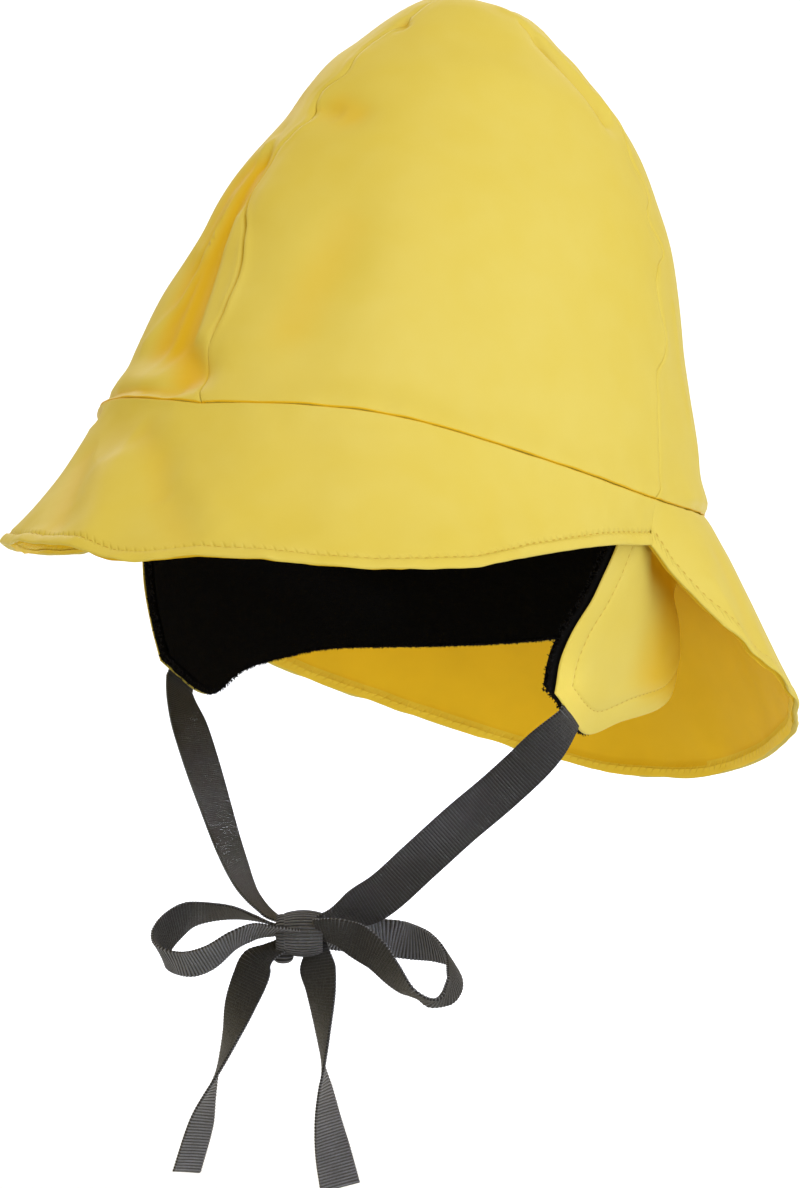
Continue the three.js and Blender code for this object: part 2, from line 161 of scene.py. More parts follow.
# Finer creases that the same cloth holds
CROWN_CREASES = table(
    "angle height to_angle to_height width depth",
    (-21, 0.59, -22.8, 0.4, 1.4, -1.3),
    (-22.8, 0.4, -25, 0.22, 1.5, -1.3),
    (-24.5, 0.47, -27.5, 0.3, 1.3, -0.7),
    (-25, 0.22, -31, 0.13, 2.4, -0.8),
    (-14.6, 0.4, -11.8, 0.26, 3.2, -1.3),
    (-11.8, 0.26, -9, 0.15, 3.2, -1.2),
    (-20, 0.62, -19.5, 0.54, 2.6, 1.0),
    (-46, 0.014, -8, 0.014, 2.8, 2.2),
    (-9, 0.665, -1, 0.655, 2.4, 1.5),
    (-1.5, 0.9, 1.5, 0.885, 1.6, 2.4),
    (71.7, 0.95, 80, 0.895, 1.2, 1.2),
    (80, 0.895, 92, 0.765, 1.1, 2.6),
    (83, 0.93, 97, 0.8, 2.4, -1.2),
    (66, 0.985, 80, 0.965, 3, -1.2),
    (10, 0.52, 4, 0.45, 9, 0.5),
    (14, 0.37, 20, 0.3, 8, 0.5),
    (20, 0.14, 17, 0.08, 9, 0.5),
    (28, 0.45, 34, 0.2, 14, -0.5),
    (112, 0.42, 114, 0.18, 1.6, -0.6),
    (114, 0.18, 119, 0.1, 2, -0.5),
)

# The front brim's edge: how far it stands out from the seam and drops below it
FRONT_BRIM = table(
    "angle out drop",
    (-93, 0, 13),
    (-80, 4, 24),
    (-70, 7.5, 33),
    (-50, 17, 41),
    (-30, 23.5, 45),
    (-12, 26.8, 46.2),
    (-7, 27.2, 46.6),
    (0, 27.5, 48.2),
    (4, 27.5, 48.3),
    (11, 27.3, 45.4),
    (19, 27, 45.7),
    (35, 25.5, 44.5),
    (50, 19.5, 37.5),
    (62, 10.5, 28),
    (80, 3, 17.5),
    (93, 0, 13),
)

# The back brim's edge; the drop differs a little between the wearer's left and right
BACK_BRIM = table(
    "angle out drop right",
    (93, 0, 13, 13),
    (98, 6, 21, 20),
    (105, 18, 33.4, 31),
    (116, 30, 44.2, 43),
    (135, 37, 55.6, 55),
    (154, 42, 64.3, 62),
    (168, 45, 69.4, 67.5),
    (180, 46, 70, 70),
)

# Soft folds across the brims, by angle and by climb from the edge to the seam; tint is the share of the
# depth that deepens the colour as painted shade, and a row without it has all of it
BRIM_FOLDS = table(
    "angle climb to_angle to_climb width depth tint",
    (-62, 0.9, -50, 0.45, 15, 3.2, 0.5),
    (-75, 0.96, -38, 0.96, 4, 1.3),
    (-22, 0.72, -11, 0.78, 9, 1.0, 0.6),
    (-11, 0.77, -4, 0.64, 6.5, 1.8, 0.7),
    (-4, 0.64, 1, 0.44, 6.5, 1.9, 0.7),
    (1, 0.44, 9, 0.12, 7, 1.5, 0.7),
    (-27, 0.6, -15, 0.16, 7, 1.4),
    (-14, 0.54, -6, 0.13, 7, -1.5),
    (4, 0.55, 14, 0.2, 5, -0.5),
    (23, 0.75, 25, 0.3, 8, 0.5),
    (-52, 0.6, -46, 0.1, 8, 0.8),
    (56, 0.6, 52, 0.1, 7, 0.6),
    (104, 0.35, 107, 0.02, 4, -1.1),
    (112, 0.7, 111, 0.05, 6, 0.9),
    (140, 0.8, 143, 0.05, 10, 1.0),
    (163, 0.7, 160, 0.05, 10, -0.9),
    (186, 0.8, 184, 0.05, 11, 0.9),
    (214, 0.8, 218, 0.05, 10, -0.8),
    (240, 0.7, 238, 0.1, 9, 0.9),
)

# The band and its ear flaps: how far the lower edge hangs below a flat ring on each side
BAND_HANG = table(
    "angle left right",
    (87, 64, 64),
    (99, 72.5, 70.5),
    (108, 66, 61.5),
    (118, 60, 54),
    (130, 51, 47.5),
    (150, 42, 42),
    (180, 34.8, 34.8),
)

# The front edge of each ear flap: how far it leans forward, by depth below a flat ring
FLAP_FRONT = table(
    "depth left right",
    (0, -3, 12),
    (20, 1.5, 14),
    (37, 6.8, 14),
    (47, 11.3, 12.6),
    (55, 12.5, 10.6),
    (64, 10, 7.5),
    (75, 7.5, 5.5),
)

# How far each ear flap leans in towards the head at its lower edge
FLAP_INWARDS = {"left": 12, "right": 14}

# The band's outer face lies this far inside the seam ring, and the lining's this far inside the band's
BAND_INSET = 1.7
LINING_INSET = 1.3
LINING_THICKNESS = 3.0

# Where the band's colour is deepened as painted shade from the brim above it, by angle and by depth, and how
# much
BAND_SHADE_ANGLES = (98, 114)
BAND_SHADE_DEPTHS = (50, 66)
BAND_SHADE = 2.6

# Where each ear flap sinks in behind, under the brim, by angle and depth below a flat ring; the same lines
# also deepen the band's colour as painted shade
BAND_FOLDS = table(
    "angle down to_angle to_down width depth",
    (95, 11, 104, 18, 5, 3.0),
    (104, 18, 136, 26, 9, 4.2),
)

# Ribbons: x, y and z of the middle line, the heading and slope of the way across, and the width
RIBBON_COLUMNS = "x y z turn rise width"

STRAP_LEFT = table(
    RIBBON_COLUMNS,
    (61, -24.5, -80, 45, -43, 12),
    (52.5, -30, -89.5, 32, -47, 12),
    (43.5, -35.5, -98.5, 32, -48, 12),
    (34, -42, -109, 31, -49, 12),
    (25.5, -47, -118, 32, -43, 12),
    (19, -50.5, -122.5, 60, -40, 12),
    (13, -53, -125.2, 90, -32, 8.5),
    (8, -56, -127.5, 95, -28, 8),
)

STRAP_RIGHT = table(
    RIBBON_COLUMNS,
    (-60.5, -25, -74.5, 50, -22, 12),
    (-51.5, -31.5, -84, 66, -4, 12),
    (-39.5, -39.7, -97, 86, 4, 12),
    (-27, -47.5, -111, 100, 4, 12),
    (-17, -53.5, -119.5, 112, 2, 11),
    (-6, -57.5, -125, 120, 0, 9),
    (2, -58, -126.5, 118, 0, 8),
)

LOOP_RIGHT = table(
    RIBBON_COLUMNS,
    (2, -56.5, -129, 120, -6, 9),
    (-2.5, -58, -128, 120, -8, 12),
    (-9, -58.5, -126.5, 118, -14, 12),
    (-16, -61, -125, 114, -24, 12),
    (-22, -64, -125, 108, -29, 12),
    (-26.5, -68.5, -126, 102, -33, 12),
    (-28.5, -74, -129, 100, -38, 12),
    (-28, -79.5, -132.5, 102, -41, 12),
    (-25.5, -82.5, -135, 106, -41, 12),
    (-21, -83.5, -136.5, 107, -41, 12),
    (-16, -82, -137, 109, -40, 12),
    (-11, -79, -135, 112, -36, 12),
    (-6.5, -74, -130.5, 114, -26, 12),
    (-3, -69, -128.5, 116, -25, 12),
    (1, -64.5, -128.5, 118, -18, 12),
    (4.5, -60, -129, 120, -14, 12),
)

LOOP_LEFT = table(
    RIBBON_COLUMNS,
    (7, -53.5, -131.5, 122, -30, 8),
    (10, -47, -132, 122, -37, 10),
    (14.5, -41.5, -131.5, 120, -54, 12),
    (21, -39, -131.5, 122, -64, 12),
    (26, -35.5, -132.5, 122, -64, 12),
    (32, -34, -133.5, 118, -50, 12),
    (37.5, -34, -135.5, 108, -37, 12),
    (41, -35, -138.5, 104, -29, 12),
    (43, -37.5, -141.5, 102, -25, 12),
    (43.5, -41, -144.5, 106, -22, 12),
    (42, -45, -146.5, 114, -16, 12),
    (40, -48.5, -146, 125, -11, 12),
    (37.5, -51.5, -144, 133, -17, 12),
    (33, -53, -139.5, 143, -32, 12),
    (27.5, -54, -134, 155, -38, 12),
    (21.5, -55, -130.5, 160, -44, 12),
    (17, -57, -128.5, 158, -41, 10),
    (10.5, -59, -128, 155, -36, 8),
)

TAIL_RIGHT = table(
    RIBBON_COLUMNS,
    (3, -59, -131.5, -45, -16, 7),
    (-2, -63, -134.5, -32, -15, 9),
    (-4.5, -65.5, -137, -12, -10, 12),
    (-6, -67, -142, 0, 0, 12),
    (-8, -69, -149, -9, 2, 12),
    (-10, -71, -158, -32, 3, 12),
    (-13, -73.5, -169, -55, 3, 12),
    (-14.5, -75, -175, -70, 3, 12),
    (-16, -77, -183, -88, 2, 12),
    (-19, -79.5, -196, -92, 3, 12),
)

TAIL_LEFT = table(
    RIBBON_COLUMNS,
    (8, -55.5, -131, 15, 4, 6),
    (9, -56, -134.5, 6, 5, 8),
    (10, -57, -139, 0, 6, 12),
    (11, -57, -145, -12, 6, 12),
    (11.5, -57, -154, -31, 5, 12),
    (12, -57, -167, -55, 3, 12),
    (12.5, -57, -173, -71, 3, 12),
    (13.5, -57, -182, -90, 2, 12),
    (15, -56.5, -191, -108, 1, 12),
    (17, -56, -200, -120, -2, 12),
)

# The knot: its middle, its half sizes and the way it faces, and the lobe that bulges below it
KNOT_ANGLE = 35
KNOT_MIDDLE = Vector((5.3, -57.8, -129.5))
KNOT_HALF = Vector((5.6, 4.2, 5.0))
KNOT_TURN = Matrix.Rotation(math.radians(KNOT_ANGLE), 3, "Z")
LOBE_MIDDLE = KNOT_MIDDLE + Vector((-4.2, -3.2, -6.0))
LOBE_HALF = Vector((3.0, 2.4, 2.4))

# Ribbons bent round the front of the knot: the place across it, the half sizes of the bend,
# how far it goes round, and the heading and width of the ribbon
KNOT_BENDS = {
    "wrap": {"side": 0.4, "deep": 5.1, "high": 5.7, "round": 118, "turn": KNOT_ANGLE, "width": 10.6},
    "fold": {"side": -5.9, "deep": 4.3, "high": 5.2, "round": 80, "turn": 10, "width": 2.6},
}

# How far each end of the strap goes up between the layers of its flap, row by row
STRAP_TUCKS = (6, 1, -2)

# Unevenness of the cloth: how high it is, the size of its lumps, and a seed
CROWN_CRUMPLES = table("high size seed", (0.9, 34, 1), (0.16, 12, 2))
BRIM_CRUMPLES = table("high size seed", (0.9, 32, 5), (0.15, 11, 6))
HEM_CRUMPLES = table("high size seed", (1.3, 13, 3), (0.5, 5, 4))
BAND_CRUMPLES = table("high size seed", (0.5, 26, 8), (0.25, 9, 9))
FLEECE_CRUMPLES = table("high size seed", (0.12, 1.6, 11))

# Gathers beside a seam: their depth and the size of their lumps; all share one seed
SIDE_GATHERS = (0.55, 7.0)
BRIM_SEAM_GATHERS = (0.6, 8.0)
CROWN_SEAM_GATHERS = (0.4, 6.0)
GATHER_SEED = 3
HEM_GATHER_REACH = 7

# Ridges along the edges of the cloth: how high, how far from the edge, and how wide
SWELL_OVER_BRIM = (0.3, 3.5, 3)
LAP_BESIDE_CREVICE = (0.35, 1.3, 1.0)
CREVICE = (-2.2, 0, 1.0)
FLAP_STITCH_GROOVE = (-0.3, STITCH_INSET, 0.45)
FLAP_SWELLS = ((0.35, STITCH_INSET + 3.5, 2.6), (0.25, 3.5, 2.2))

# The lap of each side seam grows up the crown between two heights
LAP_HIGH = 0.12
LAP_GROWTH = 0.1
LAP_HEIGHTS = (50, 90)
LAP_AWAY = 1.9
LAP_WIDTH = 0.8

# The stretch of the front seam where one gore dips under the other, by height
CREVICE_FOOT = (34, 46)
CREVICE_TOP = (76, 88)

# Depths in millimetres between which a fold deepens the cloth's colour as painted shade, and how far the
# painted shade reaches from a seam and from the crevice
SHADE_DEPTHS = (0.2, 4.0)
SEAM_SHADE_REACH = 0.5
CREVICE_SHADE_REACH = 1.7


def read(rows, key, column, at):
    """Reads a column at any value of its key, along a smooth curve through the rows."""
    last = len(rows) - 2
    after = next((i for i, row in enumerate(rows) if row[key] > at), last + 1)
    i = max(0, after - 1)
    i = min(i, last)

    def slope(k):
        low, high = rows[max(0, k - 1)], rows[min(last + 1, k + 1)]
        return (high[column] - low[column]) / (high[key] - low[key])

    a, b = rows[i], rows[i + 1]
    span = b[key] - a[key]
    t = min(1.0, max(0.0, (at - a[key]) / span))
    step = t * t * (3 - 2 * t)
    bend = slope(i) * span * t * (1 - t) ** 2 - slope(i + 1) * span * t * t * (1 - t)
    return a[column] + (b[column] - a[column]) * step + bend


def smooth(value, low, high):
    t = min(1.0, max(0.0, (value - low) / (high - low)))
    return t * t * (3 - 2 * t)


def bump(distance, width):
    """A soft bell: 1 at no distance, nothing past about two widths."""
    return math.exp(-((distance / width) ** 2))


def roll(distance, radius):
    """How far the cloth turns in at a seam or edge, as a quarter circle."""
    t = max(0.0, 1 - distance / radius)
    return radius * (1 - math.sqrt(max(0.0, 1 - t * t)))


def ridge(distance, high, away, wide):
    """A rounded ridge that runs along an edge at some distance from it."""
    return high * bump(distance - away, wide)


def crumple(point, size, seed):
    """A smooth noise with lumps of that size, in millimetres."""
    return noise.noise(point / size + Vector((seed, seed * 1.7, seed * 0.6)))


def uneven(point, crumples):
    """Uneven cloth: the sum of a table's crumples."""
    return sum(row["high"] * crumple(point, row["size"], row["seed"]) for row in crumples)


def segment_distance(point, start, end):
    way = end - start
    t = min(1.0, max(0.0, (point - start).dot(way) / way.length_squared))
    return (point - start - way * t).length


def ring_point(angle, out):
    """The seam ring, moved out by a distance; the angle runs from the front to the left."""
    way = math.radians(angle)
    normal = Vector((math.sin(way) / HALF_WIDTH, -math.cos(way) / HALF_LENGTH, 0)).normalized()
    turned = (angle + 180) % 360 - 180
    sag = read(SEAM_SAG, "angle", "sag", abs(turned))
    point = Vector((HALF_WIDTH * math.sin(way), -HALF_LENGTH * math.cos(way), -sag))
    return point + normal * out


def measured_crown():
    """The crown's outline, with the distance run along it as a column."""
    rows = []
    run = 0.0
    before = None
    for row in CROWN_OUTLINE:
        spot = Vector((row["ratio"] * HALF_WIDTH, row["back"], row["height"] * CROWN_HEIGHT))
        run += (spot - before).length if before else 0.0
        before = spot
        rows.append({**row, "run": run})
    return rows


CROWN_RUN = measured_crown()


def crown_section(climb):
    at = climb * CROWN_RUN[-1]["run"]
    return {name: read(CROWN_RUN, "run", name, at) for name in ("ratio", "height", "back")}


def smooth_crown(angle, section):
    ring = ring_point(angle, 0)
    left = (1 - section["height"]) ** 3
    return Vector((
        ring.x * section["ratio"],
        ring.y * section["ratio"] + section["back"],
        section["height"] * CROWN_HEIGHT + ring.z * left + SEAM_GAP,
    ))


def crown_place(angle, height):
    section = {
        "ratio": read(CROWN_OUTLINE, "height", "ratio", height),
        "back": read(CROWN_OUTLINE, "height", "back", height),
        "height": height,
    }
    return smooth_crown(angle, section)


def surface_lines(rows, place, key, tinted=False):
    """The lines of a table of folds, in short pieces that follow the surface without them.

    Tinted lines have the depths that colour the cloth as painted shade.
    """
    lines = []
    for fold in rows:
        depth = fold["depth"] * (fold.get("tint", 1) if tinted else 1)
        turn = fold["to_angle"] - fold["angle"]
        climb = fold["to_" + key] - fold[key]
        pieces = max(1, round(abs(turn) / FOLD_PIECE))
        spots = [
            place(fold["angle"] + turn * k / pieces, fold[key] + climb * k / pieces)
            for k in range(pieces + 1)
        ]
        lines += [(spots[k], spots[k + 1], fold["width"], depth) for k in range(pieces)]
    return lines


FOLD_LINES = surface_lines(CROWN_FOLDS, crown_place, "height")
CREASE_LINES = surface_lines(CROWN_CREASES, crown_place, "height")
# Depths of the crown's folds and creases that paint shade into the cloth's colour
TINT_LINES = surface_lines(CROWN_FOLDS + CROWN_CREASES, crown_place, "height", tinted=True)


def fold_depth(point, lines):
    """How deep the cloth lies at a place: the deepest groove there, less the highest ridge."""
    deepest = highest = 0.0
    for start, end, width, depth in lines:
        distance = segment_distance(point, start, end)
        if distance < 3 * width:
            here = depth * bump(distance, width)
            deepest, highest = max(deepest, here), min(highest, here)
    return deepest + highest


def crown_point(angle, climb):
    """A point of the crown with its folds; climb is 0 at the brim and 1 at the tip."""
    section = crown_section(climb)
    point = smooth_crown(angle, section)
    inwards = fold_depth(point, FOLD_LINES) * smooth(climb, 0, 0.025)
    inwards += fold_depth(point, CREASE_LINES) * smooth(climb, 0, 0.01)
    radius = math.hypot(point.x, point.y - section["back"])
    kept = 1 - inwards / radius
    middle = section["back"]
    return Vector((point.x * kept, (point.y - middle) * kept + middle, point.z))


def brim_point(rows, flare, angle, climb):
    """A point of a brim; climb is 0 at the outer edge and 1 at the seam."""
    away = 1 - climb
    key = angle if rows is FRONT_BRIM else min(angle, 360 - angle)
    column = "right" if key != angle else "drop"
    out = read(rows, "angle", "out", key) * away**flare
    drop = read(rows, "angle", column, key) * away
    point = ring_point(angle, out)
    point.z -= drop + SEAM_GAP
    return point


def turned_lines(lines):
    """Fold lines turned with the hat."""
    return [(HAT_TURN @ start, HAT_TURN @ end, width, depth) for start, end, width, depth in lines]


def brim_folds(rows, flare, low, high, tinted=False):
    """The fold lines that lie on one brim."""

    def place(angle, climb):
        return brim_point(rows, flare, angle, climb)

    here = [fold for fold in BRIM_FOLDS if low < fold["angle"] < high]
    return turned_lines(surface_lines(here, place, "climb", tinted))


def band_point(angle, climb, inset):
    """A point of the band, inset from its outer face; climb is 0 at the lower edge."""
    turned = (angle + 180) % 360 - 180
    side = 1 if turned > 0 else -1
    around = abs(turned)
    flap = smooth(120 - around, 0, 33)
    lean = smooth(130 - around, 0, 30)
    hand = "left" if side > 0 else "right"
    hang = read(BAND_HANG, "angle", hand, around)
    top = ring_point(angle, 0).z + BAND_RISE
    z = -hang + (top + hang) * climb
    depth = max(0.0, -z)
    forward = read(FLAP_FRONT, "depth", hand, depth) * flap
    taper = FLAP_INWARDS[hand] * lean * (depth / FLAP_DEPTH) ** 2
    point = ring_point(turned - side * math.degrees(forward / HALF_LENGTH), -(BAND_INSET + taper + inset))
    point.z = z
    return point


def band_fold_lines():
    """The lines along which the band sinks in behind both ear flaps."""
    lines = []
    for side in (1, -1):

        def place(angle, depth, side=side):
            spot = ring_point(side * angle, -BAND_INSET)
            spot.z = -depth
            return spot

        lines += surface_lines(BAND_FOLDS, place, "down")
    return lines


class Sheet:
    """A piece of cloth as a surface: u runs along its lower edge and v climbs from it.

    Relief is its height above the surface; a second, optional function gives a depth in millimetres at
    folds, seams and under the brim, which deepens the cloth's colour as painted shade.
    """

    def __init__(self, surface, relief, painted_shade_depth=None):
        self.surface = surface
        self.relief = relief
        self.painted_shade_depth = painted_shade_depth
        self.widths = [self.length(lambda t, k=k: surface(t, k / 8), 40) for k in range(9)]
        self.heights = [self.length(lambda t, k=k: surface(k / 24, t), 12) for k in range(25)]

    @staticmethod
    def length(line, steps):
        spots = [line(k / steps) for k in range(steps + 1)]
        return sum((b - a).length for a, b in zip(spots, spots[1:]))

    @staticmethod
    def between(values, t):
        at = t * (len(values) - 1)
        k = min(int(at), len(values) - 2)
        return values[k] + (values[k + 1] - values[k]) * (at - k)

    def painted_shade_share(self, u, v):
        """The share of painted shade in the cloth's colour: 0 on the open cloth, 1 at the bottom of a fold
        or seam.
        """
        return smooth(self.painted_shade_depth(u, v), *SHADE_DEPTHS) if self.painted_shade_depth else 0.0

    def width(self, v):
        return self.between(self.widths, v)

    def height(self, u):
        return self.between(self.heights, u)

    def edges(self, u, v):
        """The distances to the four edges, in millimetres."""
        across, up = self.width(v), self.height(u)
        return {"left": u * across, "right": (1 - u) * across, "low": v * up, "high": (1 - v) * up}

    def normal(self, u, v):
        step = 1e-3
        across = self.surface(min(1, u + step), v) - self.surface(max(0, u - step), v)
        up = self.surface(u, min(1, v + step)) - self.surface(u, max(0, v - step))
        return across.cross(up).normalized()

    def point(self, u, v):
        """The finished surface, and the way out of it."""
        place = self.surface(u, v)
        out = self.normal(u, v)
        return place + out * self.relief(place, self.edges(u, v)), out


def spread(length, low, even, high):
    """Shares of a length: close steps at both ends, given in millimetres, and even ones between."""
    shrink = min(1.0, 0.42 * length / max(low[-1], high[-1]))
    start = [step * shrink / length for step in low]
    end = [1 - step * shrink / length for step in reversed(high)]
    gap = (end[0] - start[-1]) / (even + 1)
    return start + [start[-1] + gap * (k + 1) for k in range(even)] + end


def finish_mesh(name, bm, looks, slot, *nodes):
    """Makes the object: its place is in its mesh, in metres."""
    for vert in bm.verts:
        vert.co = vert.co * 0.001
    mesh = bpy.data.meshes.new(name)
    bm.to_mesh(mesh)
    bm.free()
    mesh.polygons.foreach_set("use_smooth", [True] * len(mesh.polygons))
    for look in looks:
        mesh.materials.append(look)
    piece = bpy.data.objects.new(name, mesh)
    bpy.context.scene.collection.objects.link(piece)
    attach(piece, "root")
    if nodes:
        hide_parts(*nodes)
    return piece


def add_wall(piece, thickness, offset=-1.0, rounding=0.3):
    """Gives a sheet its thickness and rounds its cut edges."""
    solid = piece.modifiers.new("Wall", "SOLIDIFY")
    solid.thickness = thickness * 0.001
    solid.offset = offset
    solid.use_quality_normals = True
    solid.material_offset = 1 if len(piece.data.materials) > 1 else 0
    if "wall" in piece.vertex_groups:
        solid.vertex_group = "wall"
    soft = piece.modifiers.new("Soft edge", "BEVEL")
    soft.width = rounding * 0.001
    soft.segments = 2
    soft.limit_method = "ANGLE"
    soft.angle_limit = math.radians(50)
    return piece


def grid_indices(bm, columns, rows):
    """Each vertex of a fresh grid with its column and row."""
    return [
        (vert, round((vert.co.x + 1) / 2 * columns), round((vert.co.y + 1) / 2 * rows))
        for vert in bm.verts
    ]


def lay_cloth(name, sheet, columns, rows, looks, slot, node, thickness, hem=0.0, ply=1.0):
    """Lays a grid on a sheet, with its UV map in metres of cloth from the lower edge.

    Looks are those of the outside and the inside, then of the hem's outside and inside.
    Thickness is the hem's, and past the hem the wall is a single ply, a share of it.
    """
    column_count = len(spread(1000, *columns)) - 1
    row_count = len(spread(1000, *rows)) - 1
    bm = bmesh.new()
    bmesh.ops.create_grid(bm, x_segments=column_count, y_segments=row_count, size=1)
    # A per-vertex share of painted shade, which mixes the cloth's colour toward its fold colour
    painted_shade = bm.verts.layers.float.new("painted_shade")
    cloth_place = {}
    wall = {}
    across = [spread(sheet.width(j / row_count), *columns) for j in range(row_count + 1)]
    up = [spread(sheet.height(i / column_count), *rows) for i in range(column_count + 1)]
    flat = [
        [sheet.surface(across[j][i], up[i][j]) for i in range(column_count + 1)]
        for j in range(row_count + 1)
    ]
    for vert, i, j in grid_indices(bm, column_count, row_count):
        u, v = across[j][i], up[i][j]
        low = v * sheet.height(u)
        run = flat[j][min(i + 1, column_count)] - flat[j][max(i - 1, 0)]
        rise = flat[min(j + 1, row_count)][i] - flat[max(j - 1, 0)][i]
        out = run.cross(rise).normalized()
        vert.co = flat[j][i] + out * sheet.relief(flat[j][i], sheet.edges(u, v))
        vert[painted_shade] = sheet.painted_shade_share(u, v)
        cloth_place[vert] = (u * sheet.width(0) * 0.001, low * 0.001)
        wall[vert.index] = 1 - (1 - ply) * smooth(low, hem - 0.3, hem + 0.3)
    uv = bm.loops.layers.uv.new("cloth")
    for face in bm.faces:
        for loop in face.loops:
            loop[uv].uv = cloth_place[loop.vert]
        if hem and min(cloth_place[vert][1] for vert in face.verts) * 1000 < hem:
            face.material_index = 2
    piece = finish_mesh(name, bm, looks, slot, node)
    if hem:
        group = piece.vertex_groups.new(name="wall")
        for index, share in wall.items():
            group.add([index], share, "REPLACE")
    return add_wall(piece, thickness)


def sewn_edges(edges, turn=0.8):
    """How the cloth turns in along the seams at its sides and top."""
    return -(roll(edges["left"], turn) + roll(edges["right"], turn) + roll(edges["high"], turn))


def seam_puckers(place, distance, depth, size):
    """Small gathers beside a seam, dying out away from it."""
    return depth * math.exp(-distance / size) * crumple(place, size, GATHER_SEED)


# Looks


class Wires:
    """A material's node tree, with short ways to add and join nodes."""

    def __init__(self, tree):
        self.nodes = tree.nodes
        self.links = tree.links

    def add(self, kind, values=(), **settings):
        node = self.nodes.new(kind)
        for key, value in settings.items():
            setattr(node, key, value)
        for key, value in dict(values).items():
            self.put(value, node.inputs[key])
        return node

    def put(self, value, socket):
        if isinstance(value, bpy.types.NodeSocket):
            self.links.new(value, socket)
        else:
            socket.default_value = value

    def math(self, operation, *values):
        node = self.nodes.new("ShaderNodeMath")
        node.operation = operation
        for socket, value in zip(node.inputs, values):
            self.put(value, socket)
        return node.outputs[0]

    def mix(self, share, first, second):
        node = self.add("ShaderNodeMix", data_type="RGBA")
        for socket, value in ((node.inputs[0], share), (node.inputs[6], first), (node.inputs[7], second)):
            self.put(value, socket)
        return node.outputs[2]

    def noise(self, vector, scale, detail=2.0, roughness=0.5):
        node = self.add(
            "ShaderNodeTexNoise",
            {"Vector": vector, "Scale": scale, "Detail": detail, "Roughness": roughness},
        )
        return node.outputs["Fac"]

    def finish(self, shader):
        """Joins the shader to the material's output."""
        out = self.add("ShaderNodeOutputMaterial")
        self.links.new(shader.outputs[0], out.inputs["Surface"])

    def group(self, tree, **values):
        node = self.add("ShaderNodeGroup", node_tree=tree)
        for key, value in values.items():
            self.put(value, node.inputs[key.replace("_", " ")])
        return node.outputs


def new_look(name):
    """An empty material and its wires."""
    look = bpy.data.materials.new(name)
    look.use_nodes = True
    look.node_tree.nodes.clear()
    return look, Wires(look.node_tree)


def new_group(name, inputs, outputs):
    """A shader node group with named inputs and outputs."""
    tree = bpy.data.node_groups.new(name, "ShaderNodeTree")
    for socket, kind, value in inputs:
        made = tree.interface.new_socket(socket, in_out="INPUT", socket_type=kind)
        if value is not None:
            made.default_value = value
    for socket in outputs:
        tree.interface.new_socket(socket, in_out="OUTPUT", socket_type="NodeSocketFloat")
    wires = Wires(tree)
    return tree, wires, wires.add("NodeGroupInput").outputs, wires.add("NodeGroupOutput").inputs


def cloth_grain():
    """Fine grain and soft unevenness of coated cloth, as a height and a tone."""
    tree, wires, given, out = new_group(
        "Cloth grain",
        [
            ("Vector", "NodeSocketVector", None),
            ("Grain size", "NodeSocketFloat", 0.0006),
            ("Crumple size", "NodeSocketFloat", 0.012),
        ],
        ["Height", "Tone"],
    )
    fine = wires.noise(given["Vector"], wires.math("DIVIDE", 1.0, given["Grain size"]), 1.0)
    broad = wires.noise(given["Vector"], wires.math("DIVIDE", 1.0, given["Crumple size"]), 2.0)
    wide = wires.noise(given["Vector"], 14.0, 1.0)
    height = wires.math("ADD", wires.math("MULTIPLY", fine, 0.05), wires.math("MULTIPLY", broad, 1.0))
    wires.put(height, out["Height"])
    tone = wires.math("ADD", wires.math("MULTIPLY", broad, 0.4), wires.math("MULTIPLY", wide, 0.6))
    wires.put(tone, out["Tone"])
    return tree


def hem_puckers():
    """Dimples between the stitches of a hem, from the cloth map: along x, and y up from the edge."""
    tree, wires, given, out = new_group(
        "Hem puckers",
        [
            ("Vector", "NodeSocketVector", None),
            ("Stitch row", "NodeSocketFloat", 0.0037),
            ("Pitch", "NodeSocketFloat", 0.0028),
            ("Spread", "NodeSocketFloat", 0.0016),
        ],
        ["Height"],
    )
    place = wires.add("ShaderNodeSeparateXYZ", {"Vector": given["Vector"]}).outputs
    above = wires.math("SUBTRACT", place["Y"], given["Stitch row"])
    share = wires.math("DIVIDE", wires.math("ABSOLUTE", above), given["Spread"])
    near = wires.math("MAXIMUM", wires.math("SUBTRACT", 1.0, share), 0.0)
    sway = wires.math("MULTIPLY", wires.noise(given["Vector"], 90.0, 1.0), 5.0)
    slant = wires.math("MULTIPLY_ADD", above, 0.7, place["X"])
    turn = wires.math("MULTIPLY_ADD", wires.math("DIVIDE", slant, given["Pitch"]), math.tau, sway)
    tick = wires.math("POWER", wires.math("MAXIMUM", wires.math("COSINE", turn), 0.0), 2.0)
    wires.put(wires.math("MULTIPLY", near, wires.math("MULTIPLY", tick, -1.0)), out["Height"])
    return tree


